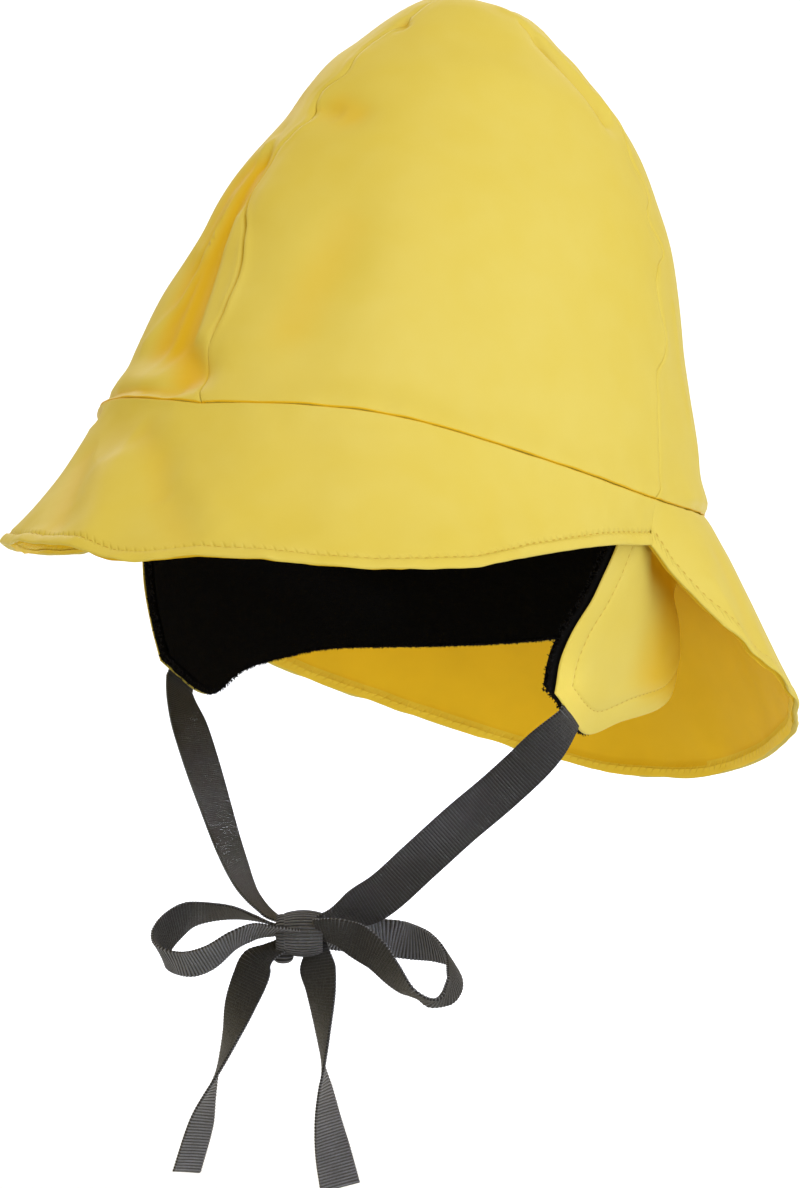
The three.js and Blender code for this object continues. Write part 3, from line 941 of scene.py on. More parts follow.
def coated_cloth(name, colour, deep, hem, shine, painted_shade_colour=None):
    """Satin coated cloth: smooth, with fine grain, uneven tone and puckered hems, and painted shade in folds
    and seams when given a shade colour.
    """
    look, wires = new_look(name)
    spot = wires.add("ShaderNodeTexCoord").outputs["Object"]
    grain = wires.group(GROUPS["grain"], Vector=spot)
    height = grain["Height"]
    if hem:
        cloth = wires.add("ShaderNodeUVMap", uv_map="cloth").outputs["UV"]
        puckers = wires.group(GROUPS["puckers"], Vector=cloth)["Height"]
        height = wires.math("ADD", height, wires.math("MULTIPLY", puckers, hem))
    raised = wires.add("ShaderNodeBump", {"Height": height, "Strength": 0.55, "Distance": 0.0003})
    tone = wires.add("ShaderNodeMapRange", {"Value": grain["Tone"], "From Min": 0.35, "From Max": 0.65})
    base = wires.mix(tone.outputs[0], (*deep, 1), (*colour, 1))
    # Painted shade: the colour is mixed toward a deeper orange by a per-vertex share, darkest at the bottom
    # of folds, along seams and under the brim
    if painted_shade_colour:
        share = wires.add("ShaderNodeAttribute", attribute_name="painted_shade").outputs["Fac"]
        base = wires.mix(share, base, (*painted_shade_colour, 1))
    rough = wires.math("ADD", 0.42, wires.math("MULTIPLY", grain["Tone"], 0.16))
    shader = wires.add(
        "ShaderNodeBsdfPrincipled",
        {
            "Base Color": base,
            "Roughness": rough,
            "Normal": raised.outputs[0],
            "IOR": 1.5,
            "Specular IOR Level": shine,
        },
    )
    wires.finish(shader)
    return look


def fleece_look(name, colour):
    """Black fleece: soft, matt and lumpy, with a faint bloom."""
    look, wires = new_look(name)
    spot = wires.add("ShaderNodeTexCoord").outputs["Object"]
    lumps = wires.noise(spot, 700.0, 4.0, 0.7)
    hairs = wires.noise(spot, 3500.0, 2.0, 0.6)
    height = wires.math("ADD", lumps, wires.math("MULTIPLY", hairs, 0.4))
    raised = wires.add("ShaderNodeBump", {"Height": height, "Strength": 1.0, "Distance": 0.0007})
    pale = tuple(1.6 * c for c in colour)
    shader = wires.add(
        "ShaderNodeBsdfPrincipled",
        {
            "Base Color": wires.mix(lumps, (*colour, 1), (*pale, 1)),
            "Roughness": wires.math("ADD", 0.85, wires.math("MULTIPLY", lumps, 0.15)),
            "Normal": raised.outputs[0],
            "Specular IOR Level": 0.04,
        },
    )
    wires.finish(shader)
    return look


def grosgrain_look(name, colour, pitch):
    """Ribbed black ribbon: paler on the crests of its ribs as a painted highlight, with fine threads along
    it.
    """
    look, wires = new_look(name)
    cloth = wires.add("ShaderNodeUVMap", uv_map="cloth").outputs["UV"]
    place = wires.add("ShaderNodeSeparateXYZ", {"Vector": cloth}).outputs
    turn = wires.math("MULTIPLY", wires.math("DIVIDE", place["X"], pitch), math.tau)
    crest = wires.math("POWER", wires.math("MULTIPLY_ADD", wires.math("COSINE", turn), 0.5, 0.5), 3.0)
    stretched = wires.add("ShaderNodeMapping", {"Vector": cloth, "Scale": (600, 4200, 1)}).outputs[0]
    threads = wires.noise(stretched, 1.0, 2.0, 0.6)
    wear = wires.noise(cloth, 160.0, 3.0)
    # Painted highlight: the rib crests are mixed toward a grey 26 times the ribbon's colour, in place of the
    # light they catch
    pale = tuple(26 * c for c in colour)
    share = wires.math("MULTIPLY", crest, wires.math("MULTIPLY_ADD", threads, 0.7, 0.25))
    tone = wires.math("MULTIPLY", share, wires.math("MULTIPLY_ADD", wear, 0.8, 0.5))
    height = wires.math("ADD", crest, wires.math("MULTIPLY", threads, 0.6))
    raised = wires.add("ShaderNodeBump", {"Height": height, "Strength": 1.0, "Distance": 0.0004})
    shader = wires.add(
        "ShaderNodeBsdfPrincipled",
        {
            "Base Color": wires.mix(tone, (*colour, 1), (*pale, 1)),
            "Roughness": wires.math("SUBTRACT", 0.72, wires.math("MULTIPLY", crest, 0.24)),
            "Normal": raised.outputs[0],
            "Specular IOR Level": 0.35,
            "Sheen Weight": 0.4,
            "Sheen Roughness": 0.4,
            "Sheen Tint": (0.5, 0.5, 0.5, 1),
        },
    )
    wires.finish(shader)
    return look


def plain_look(name, colour, roughness):
    """A matt surface with a fine grain."""
    look, wires = new_look(name)
    spot = wires.add("ShaderNodeTexCoord").outputs["Object"]
    grain = wires.noise(spot, 900.0, 2.0)
    shade = tuple(0.8 * c for c in colour)
    shader = wires.add(
        "ShaderNodeBsdfPrincipled",
        {"Base Color": wires.mix(grain, (*shade, 1), (*colour, 1)), "Roughness": roughness},
    )
    wires.finish(shader)
    return look


GROUPS = {}
LOOKS = {}


def make_looks():
    """The shared node groups and the materials, built once."""
    colours = bpy.context.scene.rain_hat_colours
    sizes = bpy.context.scene.rain_hat_sizes
    GROUPS["grain"] = cloth_grain()
    GROUPS["puckers"] = hem_puckers()
    # The crown's and brims' cloth is mixed toward the fold colour as painted shade
    yellow, deep, painted_shade_colour = tuple(colours.cloth), tuple(colours.cloth_deep), tuple(colours.cloth_painted_shade)
    LOOKS["crown"] = coated_cloth("Yellow coated cloth", yellow, deep, 0, 0.16, painted_shade_colour)
    LOOKS["brim"] = coated_cloth("Yellow hemmed cloth", yellow, deep, 1.6, 0.16, painted_shade_colour)
    # The inner face's deeper orange is painted shade under the brims
    inside = tuple(colours.cloth_inside_painted_shade)
    LOOKS["inside"] = coated_cloth("Yellow cloth inside", inside, tuple(0.92 * c for c in inside), 0.8, 0.08)
    # The turned hem's warmer, brighter colour is painted bounce light in the brims' shade
    turned = tuple(colours.cloth_turned_painted_light)
    LOOKS["turned"] = coated_cloth("Yellow turned hem", turned, tuple(0.94 * c for c in turned), 1.6, 0.08)
    LOOKS["fleece"] = fleece_look("Black fleece", tuple(colours.fleece))
    # Painted light: the nap has three times the fleece's colour, so the tufts along the lining's edge look
    # lit while the lining stays near black
    LOOKS["nap"] = fleece_look("Black fleece nap", tuple(3 * c for c in colours.fleece))
    LOOKS["ribbon"] = grosgrain_look("Black grosgrain", tuple(colours.ribbon), sizes.rib_pitch)
    # Painted shade: a copy of the ribbon look at half its colour for the knot, which lies in shade
    wound_painted_shade = tuple(0.5 * c for c in colours.ribbon)
    LOOKS["wound_painted_shade"] = grosgrain_look("Black grosgrain, wound", wound_painted_shade, sizes.rib_pitch)
    LOOKS["thread"] = plain_look("Yellow thread", tuple(colours.thread), 0.6)
    LOOKS["floor"] = plain_look("Pale floor", tuple(colours.floor), 0.9)


# Sheets of the hat

SEAM_STEPS = (0, 0.15, 0.35, 0.6, 0.9, 1.4, 2.1, 3.0)
BACK_HEM_SHARE = 1.35
HEM_STEPS = (0, 0.12, 0.3, 0.55, 0.9, 1.4, 2.0, 2.5, 2.8, 3.0, 3.2, 3.4, 3.6, 3.8, 4.1, 4.6, 5.4)
FLAP_STEPS = (0, 0.12, 0.3, 0.55, 0.9, 1.6, 2.6, 3.8, 5.0, 5.8, 6.3, 6.6, 6.8, 7.0, 7.2, 7.4, 7.7, 8.3, 9.2)


def seam_angle(seam, height):
    """The angle of a crown seam at a height; a seam is its table and its side."""
    rows, side = seam
    return side * read(rows, "height", "angle", height)


def seam_shade(distance, reach):
    """A depth in millimetres that colours the cloth along a seam as painted shade."""
    return SHADE_DEPTHS[1] * (1 - smooth(distance, 0.15 * reach, reach))


def beside_crevice(place):
    """From 0 to 1 along the lower front seam, where one gore dips under the other."""
    return smooth(place.z, *CREVICE_FOOT) * (1 - smooth(place.z, *CREVICE_TOP))


def gore_sheet(start, end):
    """A gore between two seams; beside the lower front seam, one gore dips under the other."""
    dips, stands_proud = end[0] is FRONT_SEAM, start[0] is FRONT_SEAM

    def angle_at(u, section):
        low, high = seam_angle(start, section["height"]), seam_angle(end, section["height"])
        return low + (high - low) * u

    def surface(u, v):
        return HAT_TURN @ crown_point(angle_at(u, crown_section(v)), v)

    # Painted shade: the depth that deepens the cloth's colour in the folds, along the seam to the brim and
    # in the crevice of the front seam
    def painted_shade_depth(u, v):
        section = crown_section(v)
        flat = smooth_crown(angle_at(u, section), section)
        edges = sheet.edges(u, v)
        depth = max(fold_depth(flat, TINT_LINES), seam_shade(edges["low"], SEAM_SHADE_REACH))
        if dips:
            shade = seam_shade(edges["right"], CREVICE_SHADE_REACH)
            depth = max(depth, beside_crevice(HAT_TURN @ flat) * shade)
        return depth

    def relief(place, edges):
        low, side = edges["low"], min(edges["left"], edges["right"])
        fade = min(1.0, max(edges["left"], edges["right"]) / 20)
        lap = LAP_HIGH + LAP_GROWTH * smooth(place.z, *LAP_HEIGHTS)
        height = sewn_edges(edges, 0.7) - roll(low, 0.5) + ridge(low, *SWELL_OVER_BRIM)
        height += lap * bump(side - LAP_AWAY, LAP_WIDTH)
        if dips:
            height += beside_crevice(place) * ridge(edges["right"], *CREVICE)
        if stands_proud:
            height += beside_crevice(place) * ridge(edges["left"], *LAP_BESIDE_CREVICE)
        height += fade * seam_puckers(place, side, *SIDE_GATHERS)
        height += seam_puckers(place, low, *BRIM_SEAM_GATHERS)
        return height + smooth(low, 0, 8) * smooth(side, 0, 6) * uneven(place, CROWN_CRUMPLES)

    sheet = Sheet(surface, relief, painted_shade_depth)
    return sheet


def brim_sheet(rows, flare, low, high, hem, puff):
    """A brim between two angles; puff is how far its turned hem stands out."""
    lines = brim_folds(rows, flare, low, high)
    # Fold lines whose depths paint shade into the brim's colour
    tints = brim_folds(rows, flare, low, high, tinted=True)

    def surface(u, v):
        return HAT_TURN @ brim_point(rows, flare, low + (high - low) * u, v)

    def relief(place, edges):
        edge, seam = edges["low"], edges["high"]
        height = -roll(min(edges["left"], edges["right"]), 0.15) - roll(seam, 0.45) - roll(edge, 0.6)
        puffed = 1 - smooth(edge, hem - 0.5, hem + 0.1)
        height += puff * (puffed + ridge(edge, 0.5, hem / 2, hem / 3) + ridge(edge, -0.8, hem + 0.3, 0.5))
        height += math.exp(-edge / HEM_GATHER_REACH) * uneven(place, HEM_CRUMPLES)
        height += seam_puckers(place, seam, *CROWN_SEAM_GATHERS)
        height += smooth(seam, 0, 8) * uneven(place, BRIM_CRUMPLES)
        return height - smooth(seam, 0, 2.5) * fold_depth(place, lines)

    # Painted shade: the depth that deepens the cloth's colour in the folds and along the seam to the crown
    def painted_shade_depth(u, v):
        shade = seam_shade(sheet.edges(u, v)["high"], SEAM_SHADE_REACH)
        return max(fold_depth(surface(u, v), tints), shade)

    sheet = Sheet(surface, relief, painted_shade_depth)
    return sheet


def flap_edge(edges):
    """The distance to the free edge of an ear flap, round its corner."""
    return min(edges["low"], edges["left"], edges["right"])


def band_sheet(inset, relief, ahead=0.0):
    """A layer of the band from flap to flap round the back; ahead is in degrees."""
    start = BAND_FRONT - ahead
    lines = band_fold_lines()

    def angle_at(u):
        return start + (360 - 2 * start) * u

    def flat(u, v):
        return band_point(angle_at(u), v, inset)

    def surface(u, v):
        place = flat(u, v)
        outwards = Vector((place.x / HALF_WIDTH**2, place.y / HALF_LENGTH**2, 0)).normalized()
        return HAT_TURN @ (place - outwards * fold_depth(place, lines))

    # Painted shade: the depth that deepens the band's colour in its folds and where the brim above shades it
    def painted_shade_depth(u, v):
        place = flat(u, v)
        around = min(angle_at(u), 360 - angle_at(u))
        under_brim = smooth(around, *BAND_SHADE_ANGLES) * (1 - smooth(-place.z, *BAND_SHADE_DEPTHS))
        return max(fold_depth(place, lines), BAND_SHADE * under_brim)

    return Sheet(surface, relief, painted_shade_depth)


def band_relief(place, edges):
    edge = flap_edge(edges)
    height = -roll(edge, 0.5) - roll(edges["high"], 0.5) + ridge(edge, *FLAP_STITCH_GROOVE)
    height += sum(ridge(edge, *swell) for swell in FLAP_SWELLS)
    return height + smooth(edges["high"], 0, 10) * uneven(place, BAND_CRUMPLES)


def fleece_relief(place, edges):
    return -roll(flap_edge(edges), 0.8) + uneven(place, FLEECE_CRUMPLES)


# Nap and stitches

NAP_PER_MM = 5
NAP_LENGTHS = (0.6, 1.1)
NAP_RADII = (0.16, 0.28)
NAP_TIP_RADIUS = 0.04
NAP_DEPTHS = (0.2, 2.6)

STITCH_SAMPLES = 400
STITCH_HALF_WIDTH = 0.2
STITCH_HALF_HEIGHT = 0.16
STITCH_SAG = 0.1

# The share of the flaps' stitches that runs along each front edge
FRONT_EDGE_SHARE = 0.15


def raise_nap(bm, sheet, edge, draws):
    """Tufts of fleece along an edge of the lining; edge gives the place and one further in."""
    length = Sheet.length(lambda t: sheet.surface(*edge(t)[0]), 60)
    for _ in range(round(length * NAP_PER_MM)):
        at, inner = edge(draws.random())
        spot = sheet.surface(*at)
        away = (spot - sheet.surface(*inner)).normalized()
        out = sheet.normal(*at)
        lean = Vector([draws.uniform(-1, 1) for _ in range(3)])
        way = (away + 0.8 * lean).normalized()
        middle = spot - out * draws.uniform(*NAP_DEPTHS) - away * 0.25 + way * 0.3
        turn = way.to_track_quat("Z", "Y").to_matrix()
        long, thick = draws.uniform(*NAP_LENGTHS), draws.uniform(*NAP_RADII)
        tuft = bmesh.ops.create_cone(
            bm, cap_ends=True, segments=4, radius1=thick, radius2=NAP_TIP_RADIUS, depth=long
        )
        for vert in tuft["verts"]:
            vert.co = middle + turn @ vert.co


def stitch_line(name, sheet, line, pitch, long):
    """A row of stitches along a line on a sheet; line gives u and v by the share of the run."""
    bm = bmesh.new()
    spots = [sheet.point(*line(k / STITCH_SAMPLES)) for k in range(STITCH_SAMPLES + 1)]
    run = 0.0
    due = pitch / 2
    for (a, out), (b, _) in zip(spots, spots[1:]):
        step = (b - a).length
        while run + step >= due:
            way = (b - a).normalized()
            turn = Matrix((way, out.cross(way), out)).transposed()
            middle = a + (b - a) * ((due - run) / step)
            made = bmesh.ops.create_uvsphere(bm, u_segments=6, v_segments=4, radius=1)["verts"]
            for vert in made:
                x, y, z = vert.co.z, vert.co.x, vert.co.y
                sag = STITCH_SAG * x * x
                shaped = Vector((x * long / 2, y * STITCH_HALF_WIDTH, z * STITCH_HALF_HEIGHT - sag))
                vert.co = middle + turn @ shaped
            due += pitch
        run += step
    finish_mesh(name, bm, [LOOKS["thread"]], "coated_cloth")


def round_flaps(outer):
    """The line of the flaps' stitches: down one front edge, along the bottom, and up the other."""
    side = STITCH_INSET / (sum(outer.widths) / len(outer.widths))

    def line(t):
        if t < FRONT_EDGE_SHARE:
            u, climb = side, 1 - t / FRONT_EDGE_SHARE
        elif t > 1 - FRONT_EDGE_SHARE:
            u, climb = 1 - side, (t - 1 + FRONT_EDGE_SHARE) / FRONT_EDGE_SHARE
        else:
            along = (t - FRONT_EDGE_SHARE) / (1 - 2 * FRONT_EDGE_SHARE)
            u, climb = side + (1 - 2 * side) * along, 0
        low = STITCH_INSET / outer.height(u)
        return u, min(0.97, low + (1 - low) * climb)

    return line


# Ribbons

RIBBON_THICKNESS = 0.7
RIBBON_DRAWN_WIDTH = 12
RIB_DEPTH = 0.12
RIB_EDGE = 0.006
STEPS_PER_RIB = 6


def strap_start(side, tuck):
    """A row at a strap's upper end, between the layers of its ear flap."""
    front = band_point(side * BAND_FRONT, 0, -0.05)
    rear = band_point(side * STRAP_REAR, 0, -0.05)
    up = Vector((0, front.z - rear.z, rear.y - front.y)).normalized()
    start = HAT_TURN @ ((front + rear) / 2 + up * tuck)
    across = (HAT_TURN @ (rear - front)).normalized()
    return {
        "x": start.x,
        "y": start.y,
        "z": start.z,
        "turn": math.degrees(math.atan2(across.y, across.x)),
        "rise": math.degrees(math.asin(across.z)),
        "width": RIBBON_DRAWN_WIDTH,
    }


def strap_rows(side, rows):
    """A strap's rows, from its end between the layers of the flap."""
    return [*(strap_start(side, tuck) for tuck in STRAP_TUCKS), *rows]


def knot_bend(bend, pieces):
    """Rows of a ribbon bent round the front of the knot."""
    rows = []
    for k in range(pieces + 1):
        angle = math.radians(-bend["round"] + 2 * bend["round"] * k / pieces)
        spot = Vector((bend["side"], -bend["deep"] * math.cos(angle), bend["high"] * math.sin(angle)))
        place = KNOT_MIDDLE + KNOT_TURN @ spot
        rows.append({
            "x": place.x,
            "y": place.y,
            "z": place.z,
            "turn": bend["turn"],
            "rise": 0,
            "width": bend["width"],
        })
    return rows


def ribbon_rows(rows):
    """A ribbon's table with the run along it and its way across as columns."""
    ready = []
    run = 0.0
    before = None
    for row in rows:
        place = Vector((row["x"], row["y"], row["z"]))
        run += (place - before).length if before else 0.0
        before = place
        turn, rise = math.radians(row["turn"]), math.radians(row["rise"])
        ready.append({
            **row,
            "run": run,
            "ax": math.cos(rise) * math.cos(turn),
            "ay": math.cos(rise) * math.sin(turn),
            "az": math.sin(rise),
        })
    return ready


def ribbon_frame(rows, run):
    """The middle, the way across, the way out and the width of a ribbon at a run along it."""

    def middle(at):
        return Vector([read(rows, "run", name, at) for name in "xyz"])

    last = rows[-1]["run"]
    along = (middle(min(last, run + 0.2)) - middle(max(0, run - 0.2))).normalized()
    across = Vector([read(rows, "run", name, run) for name in ("ax", "ay", "az")])
    across = (across - along * across.dot(along)).normalized()
    return middle(run), across, across.cross(along), read(rows, "run", "width", run)


def weave_ribbon(name, rows, node, columns=10, cupped=0.25, look="ribbon"):
    """A ribbed ribbon along the rows of a table, six steps to a rib."""
    sizes = bpy.context.scene.rain_hat_sizes
    pitch = sizes.rib_pitch * 1000
    wide = sizes.ribbon_width * 1000 / RIBBON_DRAWN_WIDTH
    rows = ribbon_rows(rows)
    length = rows[-1]["run"]
    steps = max(2 * STEPS_PER_RIB, round(length / pitch * STEPS_PER_RIB))
    bm = bmesh.new()
    bmesh.ops.create_grid(bm, x_segments=columns, y_segments=steps, size=1)
    frames = [ribbon_frame(rows, length * j / steps) for j in range(steps + 1)]
    cloth_place = {}
    for vert, i, j in grid_indices(bm, columns, steps):
        middle, across, out, width = frames[j]
        share = math.sin((i / columns * 2 - 1) * math.pi / 2)
        run = length * j / steps
        crest = math.cos(run / pitch * 2 * math.pi)
        rib = RIB_DEPTH * crest
        edge = 1 + RIB_EDGE * crest
        cup = cupped * (share * share - 0.5)
        vert.co = middle + across * (share * width / 2 * wide * edge) + out * (rib + cup)
        cloth_place[vert] = (run * 0.001, share * width / 2 * 0.001)
    uv = bm.loops.layers.uv.new("cloth")
    for face in bm.faces:
        for loop in face.loops:
            loop[uv].uv = cloth_place[loop.vert]
    piece = finish_mesh(name, bm, [LOOKS[look]], "ribbon", *([node] if node else []))
    return add_wall(piece, RIBBON_THICKNESS, offset=0.0, rounding=0.22)


def knot_lump(name, node, middle, half, power, ribs):
    """A rounded lump of ribbon turned round on itself, ribbed round its level axis, in the darker ribbon
    look that paints shade on the knot; a high power makes it boxy.
    """
    bm = bmesh.new()
    bmesh.ops.create_uvsphere(bm, u_segments=ribs * STEPS_PER_RIB, v_segments=24, radius=1)
    uv = bm.loops.layers.uv.new("cloth")
    pitch = bpy.context.scene.rain_hat_sizes.rib_pitch
    for face in bm.faces:
        corners = [math.atan2(loop.vert.co.y, loop.vert.co.x) / (2 * math.pi) for loop in face.loops]
        base = max(corners)
        for loop, share in zip(face.loops, corners):
            share += 1 if base - share > 0.5 else 0
            loop[uv].uv = (share * ribs * pitch, loop.vert.co.z * half.x * 0.001)
    for vert in bm.verts:
        angle = math.atan2(vert.co.y, vert.co.x)
        x, y, z = vert.co.z, vert.co.x, vert.co.y
        size = (abs(x) ** power + abs(y) ** power + abs(z) ** power) ** (1 / power)
        rib = 1 + 0.02 * math.cos(ribs * angle) * (1 - x * x)
        shaped = Vector((x / size * half.x, y / size * half.y * rib, z / size * half.z * rib))
        vert.co = middle + KNOT_TURN @ shaped
    bmesh.ops.recalc_face_normals(bm, faces=bm.faces)
    return finish_mesh(name, bm, [LOOKS["wound_painted_shade"]], "ribbon", *([node] if node else []))


# Settings


def metres(name, description, default):
    """A length that a user would change, in metres."""
    return FloatProperty(name=name, description=description, default=default, unit="LENGTH", precision=5)


def swatch(name, description, default):
    """A colour that a user would change."""
    return FloatVectorProperty(
        name=name, description=description, default=default, subtype="COLOR", min=0, max=1
    )


class RainHatSizes(bpy.types.PropertyGroup):
    """Sizes that a user would change."""

    cloth: metres("Cloth thickness", "Thickness of a turned and sewn hem of the coated cloth", 0.002)
    ribbon_width: metres("Ribbon width", "Width of the grosgrain ribbon", 0.012)
    rib_pitch: metres("Rib pitch", "Distance from rib to rib along the ribbon", 0.00086)
    hem: metres("Hem width", "Width of the front brim's hem, from the edge to the stitches", 0.0034)
    stitch_pitch: metres("Stitch pitch", "Distance from stitch to stitch along the hems", 0.0028)


class RainHatColours(bpy.types.PropertyGroup):
    """Colours that a user would change."""

    cloth: swatch("Cloth", "Colour of the coated cloth", (0.68, 0.585, 0.13))
    cloth_deep: swatch("Cloth, deeper", "Its colour where it is a little deeper", (0.665, 0.555, 0.095))
    # Painted shade: the deeper orange that the cloth is mixed toward at the bottom of folds, along seams and
    # under the brim, standing in for shade and bounce light
    cloth_painted_shade: swatch("Cloth, in folds", "Its colour at the bottom of its folds", (0.72, 0.47, 0.012))
    # Painted shade: a deeper orange copy of the cloth's colour for the brims' inner face, standing in for
    # shade and bounce light under the brims
    cloth_inside_painted_shade: swatch("Cloth, inside", "Colour of the inner face of the brims", (0.9, 0.59, 0.02))
    # Painted bounce light: a warmer, brighter copy of the cloth's colour, so the hem turned inside the brims
    # looks golden in their shade
    cloth_turned_painted_light: swatch("Cloth, turned in", "Colour of a hem on the inner face", (0.9, 0.66, 0.055))
    thread: swatch("Thread", "Colour of the stitching", (0.6, 0.42, 0.05))
    fleece: swatch("Fleece", "Colour of the lining", (0.0035, 0.0035, 0.004))
    ribbon: swatch("Ribbon", "Colour of the ribbon between its ribs", (0.01, 0.0108, 0.0135))
    floor: swatch("Floor", "Colour of the studio floor", (0.88, 0.92, 1.0))


# Operators


class HAT_OT_crown(bpy.types.Operator):
    """Sew the crown from its four gores"""

    bl_idname = "rain_hat.crown"
    bl_label = "Crown"

    def execute(self, context):
        cloth = context.scene.rain_hat_sizes.cloth * 1000
        gores = (
            ("front_left", (FRONT_SEAM, 1), (SIDE_SEAM, 1), 92),
            ("back_left", (SIDE_SEAM, 1), (BACK_SEAM, 1), 64),
            ("back_right", (BACK_SEAM, -1), (SIDE_SEAM, -1), 64),
            ("front_right", (SIDE_SEAM, -1), (FRONT_SEAM, 1), 92),
        )
        for name, start, end, even in gores:
            lay_cloth(
                f"gore_{name}",
                gore_sheet(start, end),
                (SEAM_STEPS, even, SEAM_STEPS),
                (SEAM_STEPS, 92, (0, 1.0)),
                [LOOKS["crown"]],
                "coated_cloth",
                f"crown_{name}",
                0.5 * cloth,
            )
        return {"FINISHED"}


class HAT_OT_brims(bpy.types.Operator):
    """Sew the front and back brims, with their turned hems and stitches"""

    bl_idname = "rain_hat.brims"
    bl_label = "Brims"

    def execute(self, context):
        sizes = context.scene.rain_hat_sizes
        cloth, hem, pitch = sizes.cloth * 1000, sizes.hem * 1000, sizes.stitch_pitch * 1000
        brims = table(
            "node rows flare low high columns steps hem puff",
            ("front_brim", FRONT_BRIM, FRONT_FLARE, -93.15, 93.15, 300, 40, hem, 0.4),
            ("back_brim", BACK_BRIM, BACK_FLARE, 93, 267, 240, 48, BACK_HEM_SHARE * hem, 0.16),
        )
        for brim in brims:
            sheet = brim_sheet(*(brim[name] for name in ("rows", "flare", "low", "high", "hem", "puff")))
            lay_cloth(
                f"hemmed_{brim['node']}",
                sheet,
                (SEAM_STEPS, brim["columns"], SEAM_STEPS),
                (HEM_STEPS, brim["steps"], SEAM_STEPS),
                [LOOKS["brim"], LOOKS["inside"], LOOKS["brim"], LOOKS["turned"]],
                "coated_cloth",
                brim["node"],
                cloth,
                hem=brim["hem"],
                ply=0.4,
            )

            def along_hem(t, sheet=sheet, inset=brim["hem"] + 0.25):
                return 0.004 + 0.992 * t, inset / sheet.height(t)

            stitch_line(f"stitches_{brim['node']}", sheet, along_hem, pitch, 1.7)
        return {"FINISHED"}


class HAT_OT_band(bpy.types.Operator):
    """Sew the neck band with its ear flaps, and line it with fleece"""

    bl_idname = "rain_hat.band"
    bl_label = "Band and flaps"

    def execute(self, context):
        sizes = context.scene.rain_hat_sizes
        cloth, pitch = sizes.cloth * 1000, sizes.stitch_pitch * 1000
        outer = band_sheet(0, band_relief)
        lay_cloth(
            "band_cloth",
            outer,
            (FLAP_STEPS, 150, FLAP_STEPS),
            (FLAP_STEPS, 30, SEAM_STEPS),
            [LOOKS["crown"]],
            "coated_cloth",
            "neck_band",
            0.5 * cloth,
        )
        lining = band_sheet(LINING_INSET, fleece_relief, ahead=1.0)
        lay_cloth(
            "band_fleece",
            lining,
            (SEAM_STEPS, 200, SEAM_STEPS),
            (SEAM_STEPS, 44, SEAM_STEPS),
            [LOOKS["fleece"]],
            "fleece",
            "fleece_lining",
            LINING_THICKNESS,
        )
        bm = bmesh.new()
        draws = random.Random(5)
        raise_nap(bm, lining, lambda t: ((0, t), (0.01, t)), draws)
        raise_nap(bm, lining, lambda t: ((1, t), (0.99, t)), draws)
        raise_nap(bm, lining, lambda t: ((t, 0), (t, 0.04)), draws)
        finish_mesh("fleece_nap", bm, [LOOKS["nap"]], "fleece")
        stitch_line("stitches_flaps", outer, round_flaps(outer), 0.85 * pitch, 1.5)
        return {"FINISHED"}


class HAT_OT_strap(bpy.types.Operator):
    """Weave the chin strap's two halves and the two tails"""

    bl_idname = "rain_hat.strap"
    bl_label = "Chin strap"

    def execute(self, context):
        weave_ribbon("ribbon_left", strap_rows(1, STRAP_LEFT), "strap_left")
        weave_ribbon("ribbon_right", strap_rows(-1, STRAP_RIGHT), "strap_right")
        weave_ribbon("tail_left", TAIL_LEFT, "bow_tail_left")
        weave_ribbon("tail_right", TAIL_RIGHT, "bow_tail_right")
        return {"FINISHED"}


class HAT_OT_bow(bpy.types.Operator):
    """Tie the bow: its loops, and the knot with its wrap and folds"""

    bl_idname = "rain_hat.bow"
    bl_label = "Bow"

    def execute(self, context):
        weave_ribbon("loop_left", LOOP_LEFT, "bow_loop_left")
        weave_ribbon("loop_right", LOOP_RIGHT, "bow_loop_right")
        knot_lump("knot_heart", "bow_knot", KNOT_MIDDLE, KNOT_HALF, power=4.0, ribs=26)
        knot_lump("knot_lobe", None, LOBE_MIDDLE, LOBE_HALF, power=2.4, ribs=13)
        # The knot's wrap and fold also take the darker ribbon look: painted shade
        wrap, fold = knot_bend(KNOT_BENDS["wrap"], 8), knot_bend(KNOT_BENDS["fold"], 6)
        weave_ribbon("knot_wrap", wrap, None, cupped=-0.9, look="wound_painted_shade")
        weave_ribbon("knot_fold", fold, None, columns=6, cupped=-0.5, look="wound_painted_shade")
        return {"FINISHED"}


def polar(azimuth, rise, away):
    """A place round the hat, by its angle from the front, its angle above the floor and its distance."""
    turn, lift = math.radians(azimuth), math.radians(rise)
    way = Vector((math.sin(turn) * math.cos(lift), -math.cos(turn) * math.cos(lift), math.sin(lift)))
    return way * away


# The stage, in degrees and millimetres: a floor that rises in a round bend behind the hat
CAMERA_AZIMUTH = 35
CAMERA_RISE = 3
FLOOR_NEAR = -1600
FLOOR_DEEP = 5200
FLOOR_HALF_WIDTH = 5200
FLOOR_LEVEL = -330
BEND_DEEP = 1400
BEND_HIGH = 2600

# The camera, in metres and millimetres of lens: its distance, and how far it stands left and low
CAMERA_AWAY = 1.2
CAMERA_LEFT = 0.00145
CAMERA_LOW = 0.03712
LENS = 83.59
SENSOR_HEIGHT = 24

WORLD_COLOUR = (1, 0.78, 0.32, 1)
WORLD_STRENGTH = 0.62

